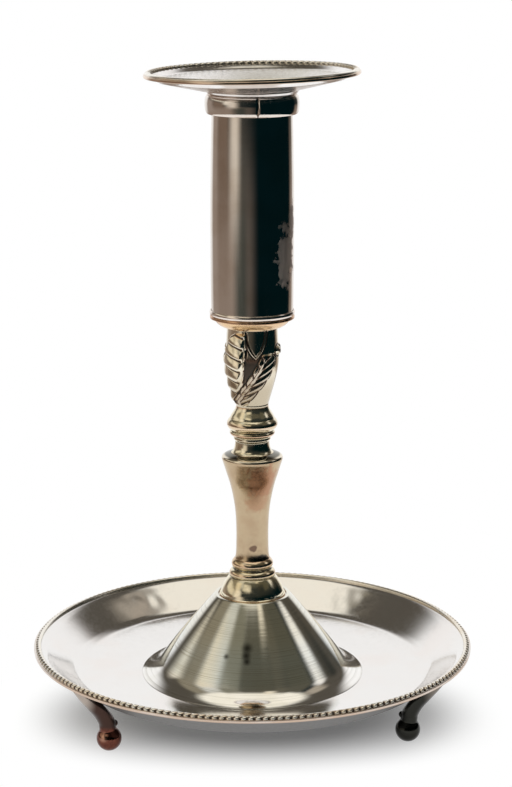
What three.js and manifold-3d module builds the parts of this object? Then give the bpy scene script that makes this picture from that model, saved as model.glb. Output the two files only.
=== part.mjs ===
// Candlestick: a turned stem on a dished tray with three ball feet, a rolled candle tube
// and a drip pan that lifts off. Millimetres, +Z up, origin on the table under the stem.
import * as THREE from 'three';
import { mergeVertices } from 'three/addons/utils/BufferGeometryUtils.js';
import loadManifold from 'manifold-3d';

const wasm = await loadManifold();
wasm.setup();

// Fits
const SEAT_GAP = 0.3; // between pieces that are cut or curved to fit each other
const SOLDER_FILM = 0.1; // under a border soldered on its lip
const ROD_CLEARANCE = 0.3; // round the tie rod, in every bore
const COLLAR_CLEARANCE = 0.5; // between the drip pan's collar and the tube

// Feet
const FOOT_BALL_DIAMETER = 8.1;
const FOOT_WORN_FLAT = 0.3; // height worn off the ball where it stands
const FOOT_CIRCLE_RADIUS = 55.6;
const FOOT_FIRST_AZIMUTH = THREE.MathUtils.degToRad(214.6);
const FOOT_NAMES = ['foot_front_left', 'foot_front_right', 'foot_back'];
const FOOT_NECK_RADIUS = 2.9;
const FOOT_NECK_OFFSET = 0.6; // outward sway of the neck over the ball
const FOOT_KNEE_HEIGHT = 2.2; // from the neck up to where the leg turns outward
const FOOT_HIP_DROP = 1.2; // leg's axis under the edge of the tray's floor
const FOOT_PAD_RADIUS = 3.1; // where the leg meets the tray's wall
const FOOT_PAD_FOOT = 0.25; // how far up the wall the pad starts, as a share of the wall
const FOOT_PAD_TOP = 0.9; // and where it ends
const FOOT_TIP_RADIUS = 1.2; // end of the pad, under the tray's lip
const FOOT_NUB_RADIUS = 0.95; // small scroll on the inner side of the neck

// Tray
const TRAY_RADIUS = 72;
const TRAY_SEAT_RADIUS = 38; // flat middle that the cone stands on
const TRAY_FLOOR_RADIUS = 58;
const TRAY_FLOOR_HEIGHT = 15.3; // upper face of the flat middle above the table
const TRAY_FLOOR_RISE = 1.7; // from the flat middle to the foot of the wall
const TRAY_WALL_RISE = 8.6; // from there to the lip
const TRAY_LIP_WIDTH = 3;
const TRAY_FLOOR_BEND = 2.5; // bend allowance at the floor
const TRAY_LIP_BEND = 1.4; // and at the lip
const TRAY_SHEET = 1;

// Twisted wire borders
const BORDER_PITCH = 2.2;
const BORDER_WIDTH = 1.9;
const BORDER_HEIGHT = 1.1;
const BORDER_NOTCH_DEPTH = 0.55;
const BORDER_EDGE = 0.45; // plain lip left outside the border
const BORDER_SLANT = 0.45; // sideways run of a notch over half the border's width

// Cone
const CONE_HEIGHT = 26.2;
const CONE_TOP_RADIUS = 13.8; // flat top that the stem stands on
const CONE_TOP_BEND = 1.2; // bend allowance at the edge of the top
const CONE_WAIST_RADIUS = 31.2; // where the straight side turns into the mouth
const CONE_MOUTH_RADIUS = 36.5;
const CONE_MOUTH_HEIGHT = 4;
const CONE_FLANGE = 0.6; // flat rim that stands on the tray
const CONE_SHEET = 0.9;

// Bell at the foot of the stem
const BELL_FOOT_RADIUS = 10.1;
const BELL_LIP_RADIUS = 10.7;
const BELL_LIP_HEIGHT = 1.9;
const BELL_FLARE_RADIUS = 9.1; // halfway up the flare
const BELL_FLARE_HEIGHT = 3.9;
const BELL_GROOVE_RADIUS = 7.4;
const BELL_LOWER_RING_RADIUS = 7.8;
const BELL_LOWER_RING_HEIGHT = 3.6;
const BELL_UPPER_GROOVE_RADIUS = 6.6;
const BELL_UPPER_RING_RADIUS = 6.95;
const BELL_UPPER_RING_HEIGHT = 3.4;

// Baluster
const BALUSTER_FOOT_RADIUS = 5.8;
const BALUSTER_FOOT_HEIGHT = 3.5;
const BALUSTER_WAIST_RADIUS = 5.2;
const BALUSTER_FLARE_HEIGHT = 29.8;
const BALUSTER_HEAD_RADIUS = 10;
const BALUSTER_HEAD_HEIGHT = 2.4;
const BALUSTER_TOP_RADIUS = 8.8;
const BALUSTER_LOW_HANDLE = 8.5; // how long the curve stays slim above the foot
const BALUSTER_HIGH_HANDLE = 14.5; // how early it starts to flare below the head

// Ring knop
const NECK_FOOT_RADIUS = 6.95;
const NECK_RADIUS = 5.55;
const NECK_HEIGHT = 4.4;
const NECK_RING_RADIUS = 7;
const NECK_RING_HEIGHT = 2.8;
const KNOP_GROOVE_RADIUS = 6.9;
const KNOP_RADIUS = 8.1;
const KNOP_HEIGHT = 5;
const KNOP_TOP_RADIUS = 5.15;
const KNOP_NECK_RADIUS = 5.7; // halfway up the hollow over the knop
const KNOP_NECK_HEIGHT = 3.4;

// Leaf knop
const LEAF_KNOP_SHOULDER_RADIUS = 8.2;
const LEAF_KNOP_BELLY_RADIUS = 7.1; // halfway up the swell from the foot
const LEAF_KNOP_SWELL_HEIGHT = 10.4;
const LEAF_KNOP_BODY_HEIGHT = 15.5;
const LEAF_KNOP_TOP_RADIUS = 8.2;
const LEAF_PAIRS = 3;
const LEAF_RELIEF = 0.95;
const LEAF_OUTER_WIDTH = 4.8; // from the midrib to the lobes on the side that the leaf leans to
const LEAF_INNER_WIDTH = 2; // and on the other side
const LEAF_ROOT_HEIGHT = 1.4; // above the knop's foot
const LEAF_LENGTH = 17; // measured up the knop
const LEAF_ROOT_AZIMUTH = THREE.MathUtils.degToRad(-41); // from the middle of its pair
const LEAF_TIP_AZIMUTH = THREE.MathUtils.degToRad(27);
const LEAF_BOW = THREE.MathUtils.degToRad(15); // how far the midrib bows outward halfway
const LEAF_LOBES = 5;
const LEAF_LOBE_DEPTH = 0.45; // share of the relief that the grooves between lobes take away

// Candle tube with its cup and foot ring
const CUP_SEAT_RADIUS = 8.4;
const CUP_EDGE = 0.45; // cup's rim outside the tube
const CUP_DEPTH = 3;
const CUP_SHEET = 0.9;
const TUBE_FOOT_RADIUS = 13.1;
const TUBE_BELLY_RADIUS = 13.3;
const TUBE_TOP_RADIUS = 12.8;
const TUBE_LENGTH = 70.6;
const TUBE_SHEET = 0.8;
const TUBE_BAND_RELIEF = 0.25;
const TUBE_BAND_HEIGHT = 1.6;
const TUBE_BAND_DROP = 0.5; // band's upper edge under the drip pan's collar
const FOOT_RING_THICKNESS = 0.45;
const FOOT_RING_HEIGHT = 1.8;
const FOOT_RING_CLEARANCE = 0.1;

// Drip pan
const COLLAR_HEIGHT = 6.3;
const COLLAR_FOOT_THICKNESS = 1.2;
const COLLAR_THICKNESS = 1.65; // at its widest, under the shoulder
const COLLAR_SHOULDER_HEIGHT = 1.6; // rounded top edge
const COLLAR_TOP_LAND = 0.35; // flat top that is soldered to the dish
const COLLAR_SEAM_WIDTH = 0.5;
const COLLAR_SEAM_OFFSET = 1.9; // seam's distance to the right of the front
const DISH_RADIUS = 34.1;
const DISH_NECK_RISE = 1.2; // turn out of the flat seat
const DISH_SLOPE_RISE = 3; // straight cone
const DISH_LIP_RISE = 1.4; // turn into the lip
const DISH_LIP_WIDTH = 2.4;
const DISH_LIP_BEND = 0.6; // bend allowance at the lip
const DISH_SHEET = 0.9;
const DISH_BORE_CLEARANCE = 0.2; // dish's hole over the tube's bore
const DISH_LEAN = THREE.MathUtils.degToRad(1.2); // the dish is bent, with its right side up

// Tie rod with its nuts and washers
const ROD_RADIUS = 2.5;
const ROD_END = 1; // past the lower nut
const NUT_ACROSS_FLATS = 8;
const NUT_HEIGHT = 3.5;
const NUT_SIDES = 6;
const WASHER_RADIUS = 6;
const WASHER_THICKNESS = 1;

// Facets
const TRAY_SEGMENTS = 48;
const WIDE_SEGMENTS = 36; // cone and dish
const TUBE_SEGMENTS = 32; // tube, collar, cup and foot ring
const STEM_SEGMENTS = 24;
const LEAF_SEGMENTS = 48;
const LEAF_ROWS = 8; // up each stretch of the leaf knop
const CURVE_STEPS = 3;
const BEND_STEPS = 2; // round a bend in sheet metal
const BALL_SEGMENTS = 12;
const LEG_SIDES = 8;
const LEG_STEPS = 8;
const ROD_SIDES = 14;
const WELD = 1e-4; // vertices closer than this are one
const CUT_MARGIN = 5; // how far a cutting body runs past what it cuts

// Heights of the stack, from the table up
const floorTop = TRAY_FLOOR_HEIGHT;
const floorUnder = floorTop - TRAY_SHEET;
const floorEdge = floorTop + TRAY_FLOOR_RISE;
const trayLip = floorEdge + TRAY_WALL_RISE;
const coneTop = floorTop + CONE_HEIGHT;
const bellFlare = coneTop + BELL_LIP_HEIGHT;
const bellRings = bellFlare + BELL_FLARE_HEIGHT;
const bellTop = bellRings + BELL_LOWER_RING_HEIGHT + BELL_UPPER_RING_HEIGHT;
const balusterTop = bellTop + BALUSTER_FOOT_HEIGHT + BALUSTER_FLARE_HEIGHT + BALUSTER_HEAD_HEIGHT;
const knopTop = balusterTop + NECK_HEIGHT + NECK_RING_HEIGHT + KNOP_HEIGHT + KNOP_NECK_HEIGHT;
const leafKnopTop = knopTop + LEAF_KNOP_SWELL_HEIGHT + LEAF_KNOP_BODY_HEIGHT;
const cupFloor = leafKnopTop + CUP_SHEET;
const tubeFoot = cupFloor + CUP_DEPTH;
const footRingTop = tubeFoot + FOOT_RING_HEIGHT;
const tubeTop = tubeFoot + TUBE_LENGTH;
const collarFoot = tubeTop - COLLAR_HEIGHT;
const dishSeat = tubeTop + DISH_SHEET;
const dishLip = dishSeat + DISH_NECK_RISE + DISH_SLOPE_RISE + DISH_LIP_RISE;
const rodTop = cupFloor + WASHER_THICKNESS + NUT_HEIGHT;
const rodFoot = floorUnder - WASHER_THICKNESS - NUT_HEIGHT - ROD_END;

// Radii that pieces share
const rodBore = ROD_RADIUS + ROD_CLEARANCE;
const trayWallTop = TRAY_RADIUS - TRAY_LIP_WIDTH;
const tubeBore = TUBE_TOP_RADIUS - TUBE_SHEET;
const tubeFootBore = TUBE_FOOT_RADIUS - TUBE_SHEET;
const collarBore = TUBE_TOP_RADIUS + COLLAR_CLEARANCE;
const collarRadius = collarBore + COLLAR_THICKNESS;
const dishNeck = collarBore + COLLAR_TOP_LAND;

const silverPlate = { color: 0xa9a493, roughness: 0.28, metalness: 1 };
const darkPlate = { color: 0x8f8b7e, roughness: 0.25, metalness: 1 };
const wornBrass = { color: 0xb59a68, roughness: 0.32, metalness: 1 };
const copperBrass = { color: 0x8a5a3c, roughness: 0.38, metalness: 1 };
const iron = { color: 0x5a5653, roughness: 0.6, metalness: 1 };

const candlestick = new THREE.Group();

function addPiece(name, geometry, finish, parent = candlestick) {
  const mesh = new THREE.Mesh(geometry, new THREE.MeshStandardMaterial(finish));
  mesh.name = name;
  parent.add(mesh);
  return mesh;
}

function toSolid(geometry) {
  const bare = geometry.clone();
  bare.deleteAttribute('normal');
  bare.deleteAttribute('uv');
  const welded = mergeVertices(bare, WELD);
  const vertProperties = new Float32Array(welded.attributes.position.array);
  const triVerts = new Uint32Array(welded.index.array);
  return new wasm.Manifold(new wasm.Mesh({ numProp: 3, vertProperties, triVerts }));
}

function toGeometry(solid) {
  const mesh = solid.getMesh();
  const geometry = new THREE.BufferGeometry();
  geometry.setAttribute('position', new THREE.BufferAttribute(mesh.vertProperties, 3));
  geometry.setIndex(new THREE.BufferAttribute(mesh.triVerts, 1));
  geometry.computeVertexNormals();
  return geometry;
}

function fromFaces(positions, indices) {
  const geometry = new THREE.BufferGeometry();
  geometry.setAttribute('position', new THREE.Float32BufferAttribute(positions, 3));
  geometry.setIndex(indices);
  return geometry;
}

// Revolves a closed outline of (radius, height) points about Z
function turned(outline, segments) {
  const geometry = new THREE.LatheGeometry([...outline, outline[0].clone()], segments);
  geometry.rotateX(Math.PI / 2);
  return geometry;
}

// Carries a path to (radius, height) in a curve that passes through midRadius halfway
function curveTo(path, midRadius, radius, height) {
  const start = path.currentPoint;
  const control = 2 * midRadius - (start.x + radius) / 2;
  path.quadraticCurveTo(control, (start.y + height) / 2, radius, height);
}

// A turned solid round the rod's bore, drawn up its outside from its foot
function turnedStem(footHeight, topHeight, drawOutside, segments = STEM_SEGMENTS, steps = CURVE_STEPS) {
  const path = new THREE.Path();
  path.moveTo(rodBore, footHeight);
  drawOutside(path);
  path.lineTo(rodBore, topHeight);
  return turned(path.getPoints(steps), segments);
}

// The other face of a sheet, given its upper or outer face from the bore outwards
function backFace(face, thickness) {
  const normals = [];
  for (let i = 1; i < face.length; i += 1) {
    const along = face[i].clone().sub(face[i - 1]).normalize();
    normals.push(new THREE.Vector2(along.y, -along.x));
  }
  return face.map((point, i) => {
    const before = normals[Math.max(i - 1, 0)];
    const after = normals[Math.min(i, normals.length - 1)];
    const mitre = before.clone().add(after).divideScalar(1 + before.dot(after));
    return point.clone().addScaledVector(mitre, thickness);
  });
}

function turnedSheet(face, thickness, segments) {
  return turned([...backFace(face, thickness), ...[...face].reverse()], segments);
}

// A closed tube of circular sections through stations of {radius, height, size} in the XZ plane
function loft(stations, steps, sides) {
  const axis = new THREE.CatmullRomCurve3(stations.map((s) => new THREE.Vector3(s.radius, 0, s.height)));
  const sizes = new THREE.SplineCurve(stations.map((s, i) => new THREE.Vector2(i, s.size)));
  const side = new THREE.Vector3(0, 1, 0);
  const positions = [];
  const indices = [];
  for (let i = 0; i <= steps; i += 1) {
    const t = i / steps;
    const centre = axis.getPoint(t);
    const out = new THREE.Vector3().crossVectors(side, axis.getTangent(t)).normalize();
    const size = sizes.getPoint(t).y;
    for (let k = 0; k < sides; k += 1) {
      const turn = (2 * Math.PI * k) / sides;
      const point = centre.clone().addScaledVector(out, size * Math.cos(turn));
      point.addScaledVector(side, size * Math.sin(turn));
      positions.push(point.x, point.y, point.z);
    }
  }
  for (let i = 0; i < steps; i += 1) {
    for (let k = 0; k < sides; k += 1) {
      const a = i * sides + k;
      const b = i * sides + ((k + 1) % sides);
      indices.push(a, b, a + sides, b, b + sides, a + sides);
    }
  }
  const last = steps * sides;
  for (let k = 1; k < sides - 1; k += 1) {
    indices.push(0, k + 1, k);
    indices.push(last, last + k, last + k + 1);
  }
  return fromFaces(positions, indices);
}

// Twisted wire border: a ridge of beads that rise from notch to crest, with slanted notches between them
function border(lipRadius, lipHeight) {
  const middle = lipRadius - BORDER_EDGE - BORDER_WIDTH / 2;
  const base = lipHeight + SOLDER_FILM;
  const beads = Math.round((2 * Math.PI * middle) / BORDER_PITCH);
  const step = (2 * Math.PI) / beads;
  const slant = BORDER_SLANT / middle;
  const positions = [];
  const indices = [];
  const addPoint = (radius, azimuth, height) => {
    positions.push(radius * Math.cos(azimuth), radius * Math.sin(azimuth), height);
  };
  for (let i = 0; i < beads; i += 1) {
    const first = positions.length / 3;
    addPoint(middle - BORDER_WIDTH / 2, step * i - slant, base);
    addPoint(middle + BORDER_WIDTH / 2, step * i + slant, base);
    addPoint(middle, step * i, base + BORDER_HEIGHT - BORDER_NOTCH_DEPTH);
    addPoint(middle, step * (i + 1 / 2), base + BORDER_HEIGHT);
    const added = positions.length / 3 - first;
    const next = i + 1 < beads ? first + added : 0;
    const [inner, outer, notch, crest] = [first, first + 1, first + 2, first + 3];
    const [nextInner, nextOuter, nextNotch] = [next, next + 1, next + 2];
    indices.push(inner, nextInner, outer, outer, nextInner, nextOuter);
    indices.push(outer, nextOuter, crest, outer, crest, notch, nextOuter, nextNotch, crest);
    indices.push(notch, crest, inner, crest, nextInner, inner, crest, nextNotch, nextInner);
  }
  return fromFaces(positions, indices);
}

function trayFace() {
  const rise = new THREE.Vector2(TRAY_FLOOR_RADIUS - TRAY_SEAT_RADIUS, TRAY_FLOOR_RISE).normalize();
  const wall = new THREE.Vector2(trayWallTop - TRAY_FLOOR_RADIUS, TRAY_WALL_RISE).normalize();
  const corner = new THREE.Vector2(TRAY_FLOOR_RADIUS, floorEdge);
  const bendStart = corner.clone().addScaledVector(rise, -TRAY_FLOOR_BEND);
  const wallFoot = corner.clone().addScaledVector(wall, TRAY_FLOOR_BEND);
  const wallHead = new THREE.Vector2(trayWallTop, trayLip).addScaledVector(wall, -TRAY_LIP_BEND);
  const path = new THREE.Path();
  path.moveTo(rodBore, floorTop);
  path.lineTo(TRAY_SEAT_RADIUS, floorTop);
  path.lineTo(bendStart.x, bendStart.y);
  path.quadraticCurveTo(corner.x, corner.y, wallFoot.x, wallFoot.y);
  path.lineTo(wallHead.x, wallHead.y);
  path.quadraticCurveTo(trayWallTop, trayLip, trayWallTop + TRAY_LIP_BEND, trayLip);
  path.lineTo(TRAY_RADIUS, trayLip);
  return path.getPoints(BEND_STEPS);
}

function buildTray() {
  addPiece('tray_pan', turnedSheet(trayFace(), TRAY_SHEET, TRAY_SEGMENTS), silverPlate);
  addPiece('tray_border', border(TRAY_RADIUS, trayLip), wornBrass);
}

// Everything from a seat gap under the tray upwards, for fitting the feet to it
function trayClearance() {
  const under = backFace(trayFace(), TRAY_SHEET + SEAT_GAP);
  const ceiling = trayLip + CUT_MARGIN;
  const edge = TRAY_RADIUS + CUT_MARGIN;
  const lip = under[under.length - 1];
  const outline = [
    ...under,
    new THREE.Vector2(edge, lip.y),
    new THREE.Vector2(edge, ceiling),
    new THREE.Vector2(rodBore, ceiling),
  ];
  return toSolid(turned(outline, TRAY_SEGMENTS));
}

// A foot in the XZ plane, standing on its worn ball, with its leg swept out under the tray's wall
function footSolid() {
  const ballRadius = FOOT_BALL_DIAMETER / 2;
  const ballCentre = ballRadius - FOOT_WORN_FLAT;
  const neckHeight = ballCentre + ballRadius - SEAT_GAP;
  const neckRadius = FOOT_CIRCLE_RADIUS + FOOT_NECK_OFFSET;
  const wallUnder = floorEdge - TRAY_SHEET;
  const underWall = (share, size) => ({
    radius: THREE.MathUtils.lerp(TRAY_FLOOR_RADIUS, trayWallTop, share) + TRAY_SHEET / 2,
    height: wallUnder + TRAY_WALL_RISE * share,
    size,
  });
  const stations = [
    { radius: FOOT_CIRCLE_RADIUS, height: ballCentre, size: FOOT_NECK_RADIUS },
    { radius: neckRadius, height: neckHeight, size: FOOT_NECK_RADIUS },
    { radius: neckRadius, height: neckHeight + FOOT_KNEE_HEIGHT, size: FOOT_NECK_RADIUS },
    { radius: TRAY_FLOOR_RADIUS, height: wallUnder - FOOT_HIP_DROP, size: FOOT_NECK_RADIUS },
    underWall(FOOT_PAD_FOOT, FOOT_PAD_RADIUS),
    underWall((FOOT_PAD_FOOT + FOOT_PAD_TOP) / 2, (FOOT_PAD_RADIUS + FOOT_TIP_RADIUS) / 2),
    underWall(FOOT_PAD_TOP, FOOT_TIP_RADIUS),
  ];
  const ball = new THREE.SphereGeometry(ballRadius, BALL_SEGMENTS, BALL_SEGMENTS / 2);
  ball.rotateX(Math.PI / 2);
  ball.translate(FOOT_CIRCLE_RADIUS, 0, ballCentre);
  const nub = new THREE.SphereGeometry(FOOT_NUB_RADIUS, BALL_SEGMENTS / 2, BALL_SEGMENTS / 2);
  nub.translate(neckRadius - FOOT_NECK_RADIUS, 0, neckHeight + FOOT_NUB_RADIUS);
  const underTable = new THREE.BoxGeometry(FOOT_BALL_DIAMETER, FOOT_BALL_DIAMETER, FOOT_BALL_DIAMETER);
  underTable.translate(FOOT_CIRCLE_RADIUS, 0, -FOOT_BALL_DIAMETER / 2);
  const leg = toSolid(loft(stations, LEG_STEPS, LEG_SIDES));
  const whole = leg.add(toSolid(ball)).add(toSolid(nub));
  return whole.subtract(toSolid(underTable)).subtract(trayClearance());
}

function buildFeet() {
  const geometry = toGeometry(footSolid());
  FOOT_NAMES.forEach((name, i) => {
    const foot = addPiece(name, geometry, copperBrass);
    foot.rotation.z = FOOT_FIRST_AZIMUTH + (2 * Math.PI * i) / FOOT_NAMES.length;
  });
}

function buildCone() {
  const flangeTop = floorTop + CONE_SHEET;
  const waist = floorTop + CONE_MOUTH_HEIGHT;
  const side = new THREE.Vector2(CONE_WAIST_RADIUS - CONE_TOP_RADIUS, waist - coneTop).normalize();
  const sideHead = new THREE.Vector2(CONE_TOP_RADIUS, coneTop).addScaledVector(side, CONE_TOP_BEND);
  const mouthTurn = CONE_WAIST_RADIUS + (side.x / side.y) * (flangeTop - waist);
  const path = new THREE.Path();
  path.moveTo(rodBore, coneTop);
  path.lineTo(CONE_TOP_RADIUS - CONE_TOP_BEND, coneTop);
  path.quadraticCurveTo(CONE_TOP_RADIUS, coneTop, sideHead.x, sideHead.y);
  path.lineTo(CONE_WAIST_RADIUS, waist);
  path.quadraticCurveTo(mouthTurn, flangeTop, CONE_MOUTH_RADIUS - CONE_FLANGE, flangeTop);
  path.lineTo(CONE_MOUTH_RADIUS, flangeTop);
  addPiece('base_cone', turnedSheet(path.getPoints(BEND_STEPS), CONE_SHEET, WIDE_SEGMENTS), silverPlate);
}

function buildBell() {
  const geometry = turnedStem(coneTop, bellTop, (path) => {
    path.lineTo(BELL_FOOT_RADIUS, coneTop);
    curveTo(path, BELL_LIP_RADIUS, BELL_FOOT_RADIUS, bellFlare);
    curveTo(path, BELL_FLARE_RADIUS, BELL_GROOVE_RADIUS, bellRings);
    curveTo(path, BELL_LOWER_RING_RADIUS, BELL_UPPER_GROOVE_RADIUS, bellRings + BELL_LOWER_RING_HEIGHT);
    curveTo(path, BELL_UPPER_RING_RADIUS, BALUSTER_FOOT_RADIUS, bellTop);
  });
  addPiece('stem_bell', geometry, wornBrass);
}

function buildBaluster() {
  const flareFoot = bellTop + BALUSTER_FOOT_HEIGHT;
  const headFoot = flareFoot + BALUSTER_FLARE_HEIGHT;
  const geometry = turnedStem(bellTop, balusterTop, (path) => {
    path.lineTo(BALUSTER_FOOT_RADIUS, bellTop);
    path.quadraticCurveTo(BALUSTER_WAIST_RADIUS, bellTop, BALUSTER_WAIST_RADIUS, flareFoot);
    path.bezierCurveTo(
      BALUSTER_WAIST_RADIUS, flareFoot + BALUSTER_LOW_HANDLE,
      BALUSTER_WAIST_RADIUS, headFoot - BALUSTER_HIGH_HANDLE,
      BALUSTER_HEAD_RADIUS, headFoot,
    );
    path.quadraticCurveTo(BALUSTER_HEAD_RADIUS, balusterTop, BALUSTER_TOP_RADIUS, balusterTop);
  }, STEM_SEGMENTS, 2 * CURVE_STEPS);
  addPiece('baluster', geometry, wornBrass);
}

function buildRingKnop() {
  const ringFoot = balusterTop + NECK_HEIGHT;
  const knopFoot = ringFoot + NECK_RING_HEIGHT;
  const hollowFoot = knopFoot + KNOP_HEIGHT;
  const geometry = turnedStem(balusterTop, knopTop, (path) => {
    path.lineTo(NECK_FOOT_RADIUS, balusterTop);
    path.quadraticCurveTo(NECK_RADIUS, balusterTop, NECK_RADIUS, ringFoot);
    curveTo(path, NECK_RING_RADIUS, KNOP_GROOVE_RADIUS, knopFoot);
    curveTo(path, KNOP_RADIUS, KNOP_GROOVE_RADIUS, hollowFoot);
    curveTo(path, KNOP_NECK_RADIUS, KNOP_TOP_RADIUS, knopTop);
  });
  addPiece('ring_knop', geometry, wornBrass);
}

// Height of one leaf over the knop's body: a lens along a bowed midrib, parted into lobes by grooves
function leafRelief(azimuth, height) {
  const along = (height - LEAF_ROOT_HEIGHT) / LEAF_LENGTH;
  if (along <= 0 || along >= 1) return 0;
  const straight = THREE.MathUtils.lerp(LEAF_ROOT_AZIMUTH, LEAF_TIP_AZIMUTH, along);
  const rib = straight + 4 * LEAF_BOW * along * (1 - along);
  const width = azimuth > rib ? LEAF_OUTER_WIDTH : LEAF_INNER_WIDTH;
  const aside = (Math.abs(azimuth - rib) * LEAF_KNOP_SHOULDER_RADIUS) / width;
  const halfWidth = Math.sqrt(Math.sin(Math.PI * along));
  const inside = 1 - (aside / halfWidth) ** 2;
  if (inside <= 0) return 0;
  const groove = Math.cos(2 * Math.PI * LEAF_LOBES * (along - aside / LEAF_LOBES)) / 2 + 1 / 2;
  return LEAF_RELIEF * Math.sqrt(inside) * (1 - LEAF_LOBE_DEPTH * groove * Math.min(aside, 1));
}

// Two leaves lean across each other in every pair
function knopRelief(azimuth, height) {
  const period = (2 * Math.PI) / LEAF_PAIRS;
  const fromPair = THREE.MathUtils.euclideanModulo(azimuth + period / 2, period) - period / 2;
  return Math.max(leafRelief(fromPair, height), leafRelief(-fromPair, height));
}

function buildLeafKnop() {
  const shoulder = knopTop + LEAF_KNOP_SWELL_HEIGHT;
  const geometry = turnedStem(knopTop, leafKnopTop, (path) => {
    path.lineTo(KNOP_TOP_RADIUS, knopTop);
    curveTo(path, LEAF_KNOP_BELLY_RADIUS, LEAF_KNOP_SHOULDER_RADIUS, shoulder);
    curveTo(path, LEAF_KNOP_SHOULDER_RADIUS, LEAF_KNOP_TOP_RADIUS, leafKnopTop);
  }, LEAF_SEGMENTS, LEAF_ROWS);
  const position = geometry.attributes.position;
  for (let i = 0; i < position.count; i += 1) {
    const x = position.getX(i);
    const y = position.getY(i);
    const radius = Math.hypot(x, y);
    if (radius > KNOP_TOP_RADIUS) {
      const relief = knopRelief(Math.atan2(x, -y), position.getZ(i) - knopTop);
      const scale = (radius + relief) / radius;
      position.setX(i, x * scale);
      position.setY(i, y * scale);
    }
  }
  addPiece('leaf_knop', geometry, wornBrass);
}

function buildCup() {
  const wall = tubeFootBore - CUP_SHEET;
  const face = new THREE.Path();
  face.moveTo(rodBore, cupFloor);
  face.lineTo(CUP_SEAT_RADIUS, cupFloor);
  face.quadraticCurveTo(wall, cupFloor + CUP_SHEET, wall, tubeFoot);
  face.lineTo(TUBE_FOOT_RADIUS + CUP_EDGE, tubeFoot);
  addPiece('tube_cup', turnedSheet(face.getPoints(BEND_STEPS), CUP_SHEET, TUBE_SEGMENTS), wornBrass);
}

function buildFootRing() {
  const bore = TUBE_FOOT_RADIUS + FOOT_RING_CLEARANCE;
  const radius = bore + FOOT_RING_THICKNESS;
  const outline = new THREE.Path();
  outline.moveTo(bore, tubeFoot);
  outline.lineTo(radius, tubeFoot);
  outline.lineTo(radius, footRingTop - FOOT_RING_THICKNESS);
  outline.lineTo(bore, footRingTop);
  addPiece('tube_foot_ring', turned(outline.getPoints(), TUBE_SEGMENTS), darkPlate);
}

function buildTube() {
  const bandTop = collarFoot - TUBE_BAND_DROP;
  const bandFoot = bandTop - TUBE_BAND_HEIGHT;
  const bandRadius = TUBE_TOP_RADIUS + TUBE_BAND_RELIEF;
  const outline = new THREE.Path();
  outline.moveTo(TUBE_FOOT_RADIUS, tubeFoot);
  outline.lineTo(TUBE_FOOT_RADIUS, footRingTop);
  curveTo(outline, TUBE_BELLY_RADIUS, TUBE_TOP_RADIUS, bandFoot);
  outline.lineTo(bandRadius, bandFoot);
  outline.lineTo(bandRadius, bandTop);
  outline.lineTo(TUBE_TOP_RADIUS, bandTop);
  outline.lineTo(TUBE_TOP_RADIUS, tubeTop);
  outline.lineTo(tubeBore, tubeTop);
  outline.lineTo(tubeBore, bandFoot);
  curveTo(outline, TUBE_BELLY_RADIUS - TUBE_SHEET, tubeFootBore, footRingTop);
  outline.lineTo(tubeFootBore, tubeFoot);
  addPiece('candle_tube', turned(outline.getPoints(CURVE_STEPS), TUBE_SEGMENTS), darkPlate);
}

function buildCollar(parent) {
  const shoulder = tubeTop - COLLAR_SHOULDER_HEIGHT;
  const outline = new THREE.Path();
  outline.moveTo(collarBore, collarFoot);
  outline.lineTo(collarBore + COLLAR_FOOT_THICKNESS, collarFoot);
  outline.quadraticCurveTo(collarRadius, collarFoot, collarRadius, shoulder);
  outline.quadraticCurveTo(collarRadius, tubeTop, dishNeck, tubeTop);
  outline.lineTo(collarBore, tubeTop);
  const seam = new THREE.BoxGeometry(COLLAR_SEAM_WIDTH, 2 * collarRadius, 2 * COLLAR_HEIGHT);
  seam.translate(COLLAR_SEAM_OFFSET, -collarRadius, tubeTop - COLLAR_HEIGHT / 2);
  const collar = toSolid(turned(outline.getPoints(CURVE_STEPS), TUBE_SEGMENTS)).subtract(toSolid(seam));
  addPiece('drip_pan_collar', toGeometry(collar), darkPlate, parent);
}

// Bends a drip pan piece out of level: level on the tube, fully leaning from the foot of the cone outwards
function bendDish(geometry) {
  const bendStart = dishNeck + DISH_SHEET;
  const position = geometry.attributes.position;
  for (let i = 0; i < position.count; i += 1) {
    const x = position.getX(i);
    const radius = Math.hypot(x, position.getY(i));
    const share = THREE.MathUtils.clamp((radius - bendStart) / DISH_NECK_RISE, 0, 1);
    position.setZ(i, position.getZ(i) + share * x * Math.tan(DISH_LEAN));
  }
  return geometry;
}

function dishFace() {
  const neckTop = dishSeat + DISH_NECK_RISE;
  const lipFoot = DISH_RADIUS - DISH_LIP_WIDTH;
  const path = new THREE.Path();
  path.moveTo(tubeBore + DISH_BORE_CLEARANCE, dishSeat);
  path.lineTo(dishNeck, dishSeat);
  path.quadraticCurveTo(dishNeck + DISH_NECK_RISE / 2, neckTop, dishNeck + 2 * DISH_NECK_RISE, neckTop);
  path.lineTo(lipFoot - DISH_LIP_WIDTH, neckTop + DISH_SLOPE_RISE);
  path.quadraticCurveTo(lipFoot, dishLip, lipFoot + DISH_LIP_BEND, dishLip);
  path.lineTo(DISH_RADIUS, dishLip);
  return path.getPoints(BEND_STEPS);
}

function buildDripPan() {
  const pan = new THREE.Group();
  candlestick.add(pan);
  buildCollar(pan);
  const dish = turnedSheet(dishFace(), DISH_SHEET, WIDE_SEGMENTS);
  addPiece('drip_pan_dish', bendDish(dish), silverPlate, pan);
  addPiece('drip_pan_border', bendDish(border(DISH_RADIUS, dishLip)), wornBrass, pan);
}

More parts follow.
